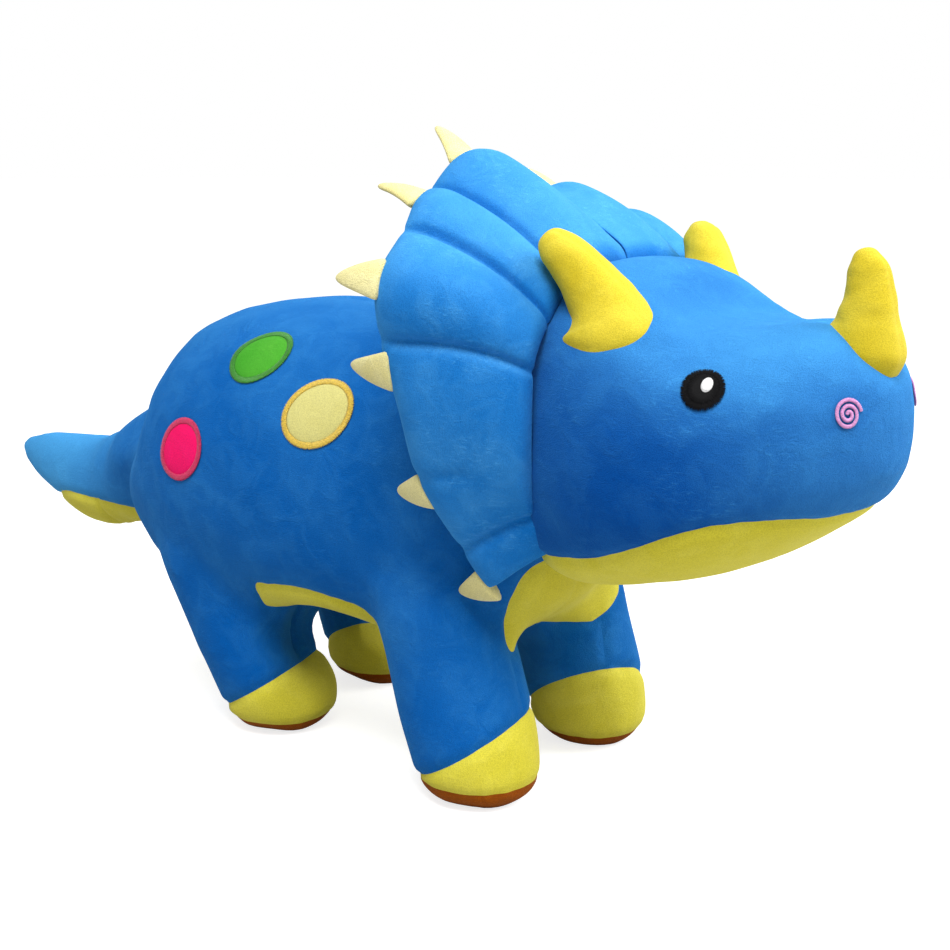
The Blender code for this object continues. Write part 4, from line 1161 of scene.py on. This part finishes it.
face = {
    "eye": (0.0594, -0.2468, 0.1958), "eyeOut": (0.74, -0.42, 0.50), "eyeSize": (0.0072, 0.0080),
    "glint": (0.0581, -0.2477, 0.1969), "glintSize": (0.0025, 0.0037),
    "cheek": (0.0281, -0.2893, 0.1875), "cheekOut": (0.50, -0.82, 0.26), "cheekSize": 0.0058, "turns": 2.4,
    "leftCheek": (0.004, 0.007),  # the left spiral sits a little further out and back
}
for sideName, sign in sides:
    tag = sideName.title()

    def mirroredPlace(centre, out, turn=0):
        return frameAt((sign * centre[0], *centre[1:]), (sign * out[0], *out[1:]), turn)

    eye = mirroredPlace(face["eye"], face["eyeOut"])
    wide, tall = face["eyeSize"]
    disc = discMesh("eye" + tag, headTree, eye, (wide, tall), 0.0010)
    finished(disc, thread["black"], "head", [f"eye_{sideName}"])
    for k, share in enumerate((0.92, 0.60)):
        line, normals = ovalLine(headTree, eye, (wide * share, tall * share), 0.0008 + 0.0001 * k)
        ring = stitched(f"eyeStitch{tag}{k}", line, normals, True, thread["black"], 0.00040, wide * 0.44, 0.0005,
                        0.25, k)
        finished(ring, thread["black"], "head")
    glint = mirroredPlace(face["glint"], face["eyeOut"])
    gu, gv = face["glintSize"]
    spark = discMesh("eyeGlint" + tag, headTree, glint, (gu, gv), 0.0019, 6, 24)
    finished(spark, thread["white"], "head", [f"eye_glint_{sideName}"])
    cx, cy, cz = face["cheek"]
    outMore, backMore = face["leftCheek"] if sign > 0 else (0, 0)
    cheek = mirroredPlace((cx + outMore, cy + backMore, cz), face["cheekOut"])
    line, normals = [], []
    steps = 90
    for k in range(steps + 1):
        s = k / steps
        a = 2 * pi * face["turns"] * s
        r = face["cheekSize"] * (0.10 + 0.90 * s)
        p, n = laid(headTree, cheek, sign * r * cos(a), r * sin(a), 0.0007)
        line.append(p)
        normals.append(n)
    curl = stitched("cheekSpiral" + tag, line, normals, False, thread["lilac"], 0.00040, 0.0016, 0.0008, 0.20)
    finished(curl, thread["lilac"], "head", [f"cheek_spiral_{sideName}"])
print("marks and stitches laid")

# floor, light and camera
stageLook = {"floor": (0.50, 0.50, 0.50), "glow": 0.76, "room": 0.56}
lamps = {  # place, target, size, power
    "keyLight": ((-0.65, -0.65, 1.55), (0, -0.08, 0.12), 0.9, 31.5),
    "fillLight": ((0.75, -0.9, 0.9), (0, -0.1, 0.12), 1.0, 19),
}
shot = {"lens": 56.84, "sensor": 36.0, "from": (-0.5152, -0.5385, 0.2731), "to": (-0.0181, -0.1013, 0.1384)}


def areaLight(name, place, target, size, power, colour=(1, 1, 1)):
    data = bpy.data.lights.new(name, "AREA")
    data.shape = "DISK"
    data.size, data.energy, data.color = size, power, colour
    lamp = bpy.data.objects.new(name, data)
    lamp.location = place
    lamp.rotation_euler = (Vector(target) - Vector(place)).to_track_quat("-Z", "Y").to_euler()
    scene.collection.objects.link(lamp)


floor = meshFrom("floor", [(-40, -40, 0), (40, -40, 0), (40, 40, 0), (-40, 40, 0)], [(0, 1, 2, 3)])
floorPaint = bpy.data.materials.new("paleFloor")
floorPaint.use_nodes = True
floorTree = floorPaint.node_tree
shade = floorTree.nodes["Principled BSDF"]
shade.inputs["Base Color"].default_value = (*stageLook["floor"], 1)
shade.inputs["Roughness"].default_value = 0.9
shade.inputs["Specular IOR Level"].default_value = 0.0
shade.inputs["Emission Color"].default_value = (1, 1, 1, 1)
seen = node(floorTree, "ShaderNodeLightPath").outputs["Is Camera Ray"]  # the floor looks paler than it lights
floorTree.links.new(mathNode(floorTree, "MULTIPLY", seen, stageLook["glow"]), shade.inputs["Emission Strength"])
floor.data.materials.append(floorPaint)
world = bpy.data.worlds.new("softRoom")
world.use_nodes = True
roomTree = world.node_tree
room = roomTree.nodes["Background"]
room.inputs["Color"].default_value = (1, 1, 1, 1)
seen = node(roomTree, "ShaderNodeLightPath").outputs["Is Camera Ray"]
strength = mathNode(roomTree, "MULTIPLY_ADD", seen, 1.0 - stageLook["room"], stageLook["room"])
roomTree.links.new(strength, room.inputs["Strength"])
scene.world = world
for name, values in lamps.items():
    areaLight(name, *values)
print("floor and lights placed")

camera = bpy.data.cameras.new("camera")
camera.lens, camera.sensor_width = shot["lens"], shot["sensor"]
eyePoint = bpy.data.objects.new("camera", camera)
eyePoint.location = shot["from"]
eyePoint.rotation_euler = (Vector(shot["to"]) - eyePoint.location).to_track_quat("-Z", "Y").to_euler()
camera.clip_start, camera.clip_end = 0.01, 50
scene.collection.objects.link(eyePoint)
scene.camera = eyePoint
scene.view_settings.view_transform = "Standard"
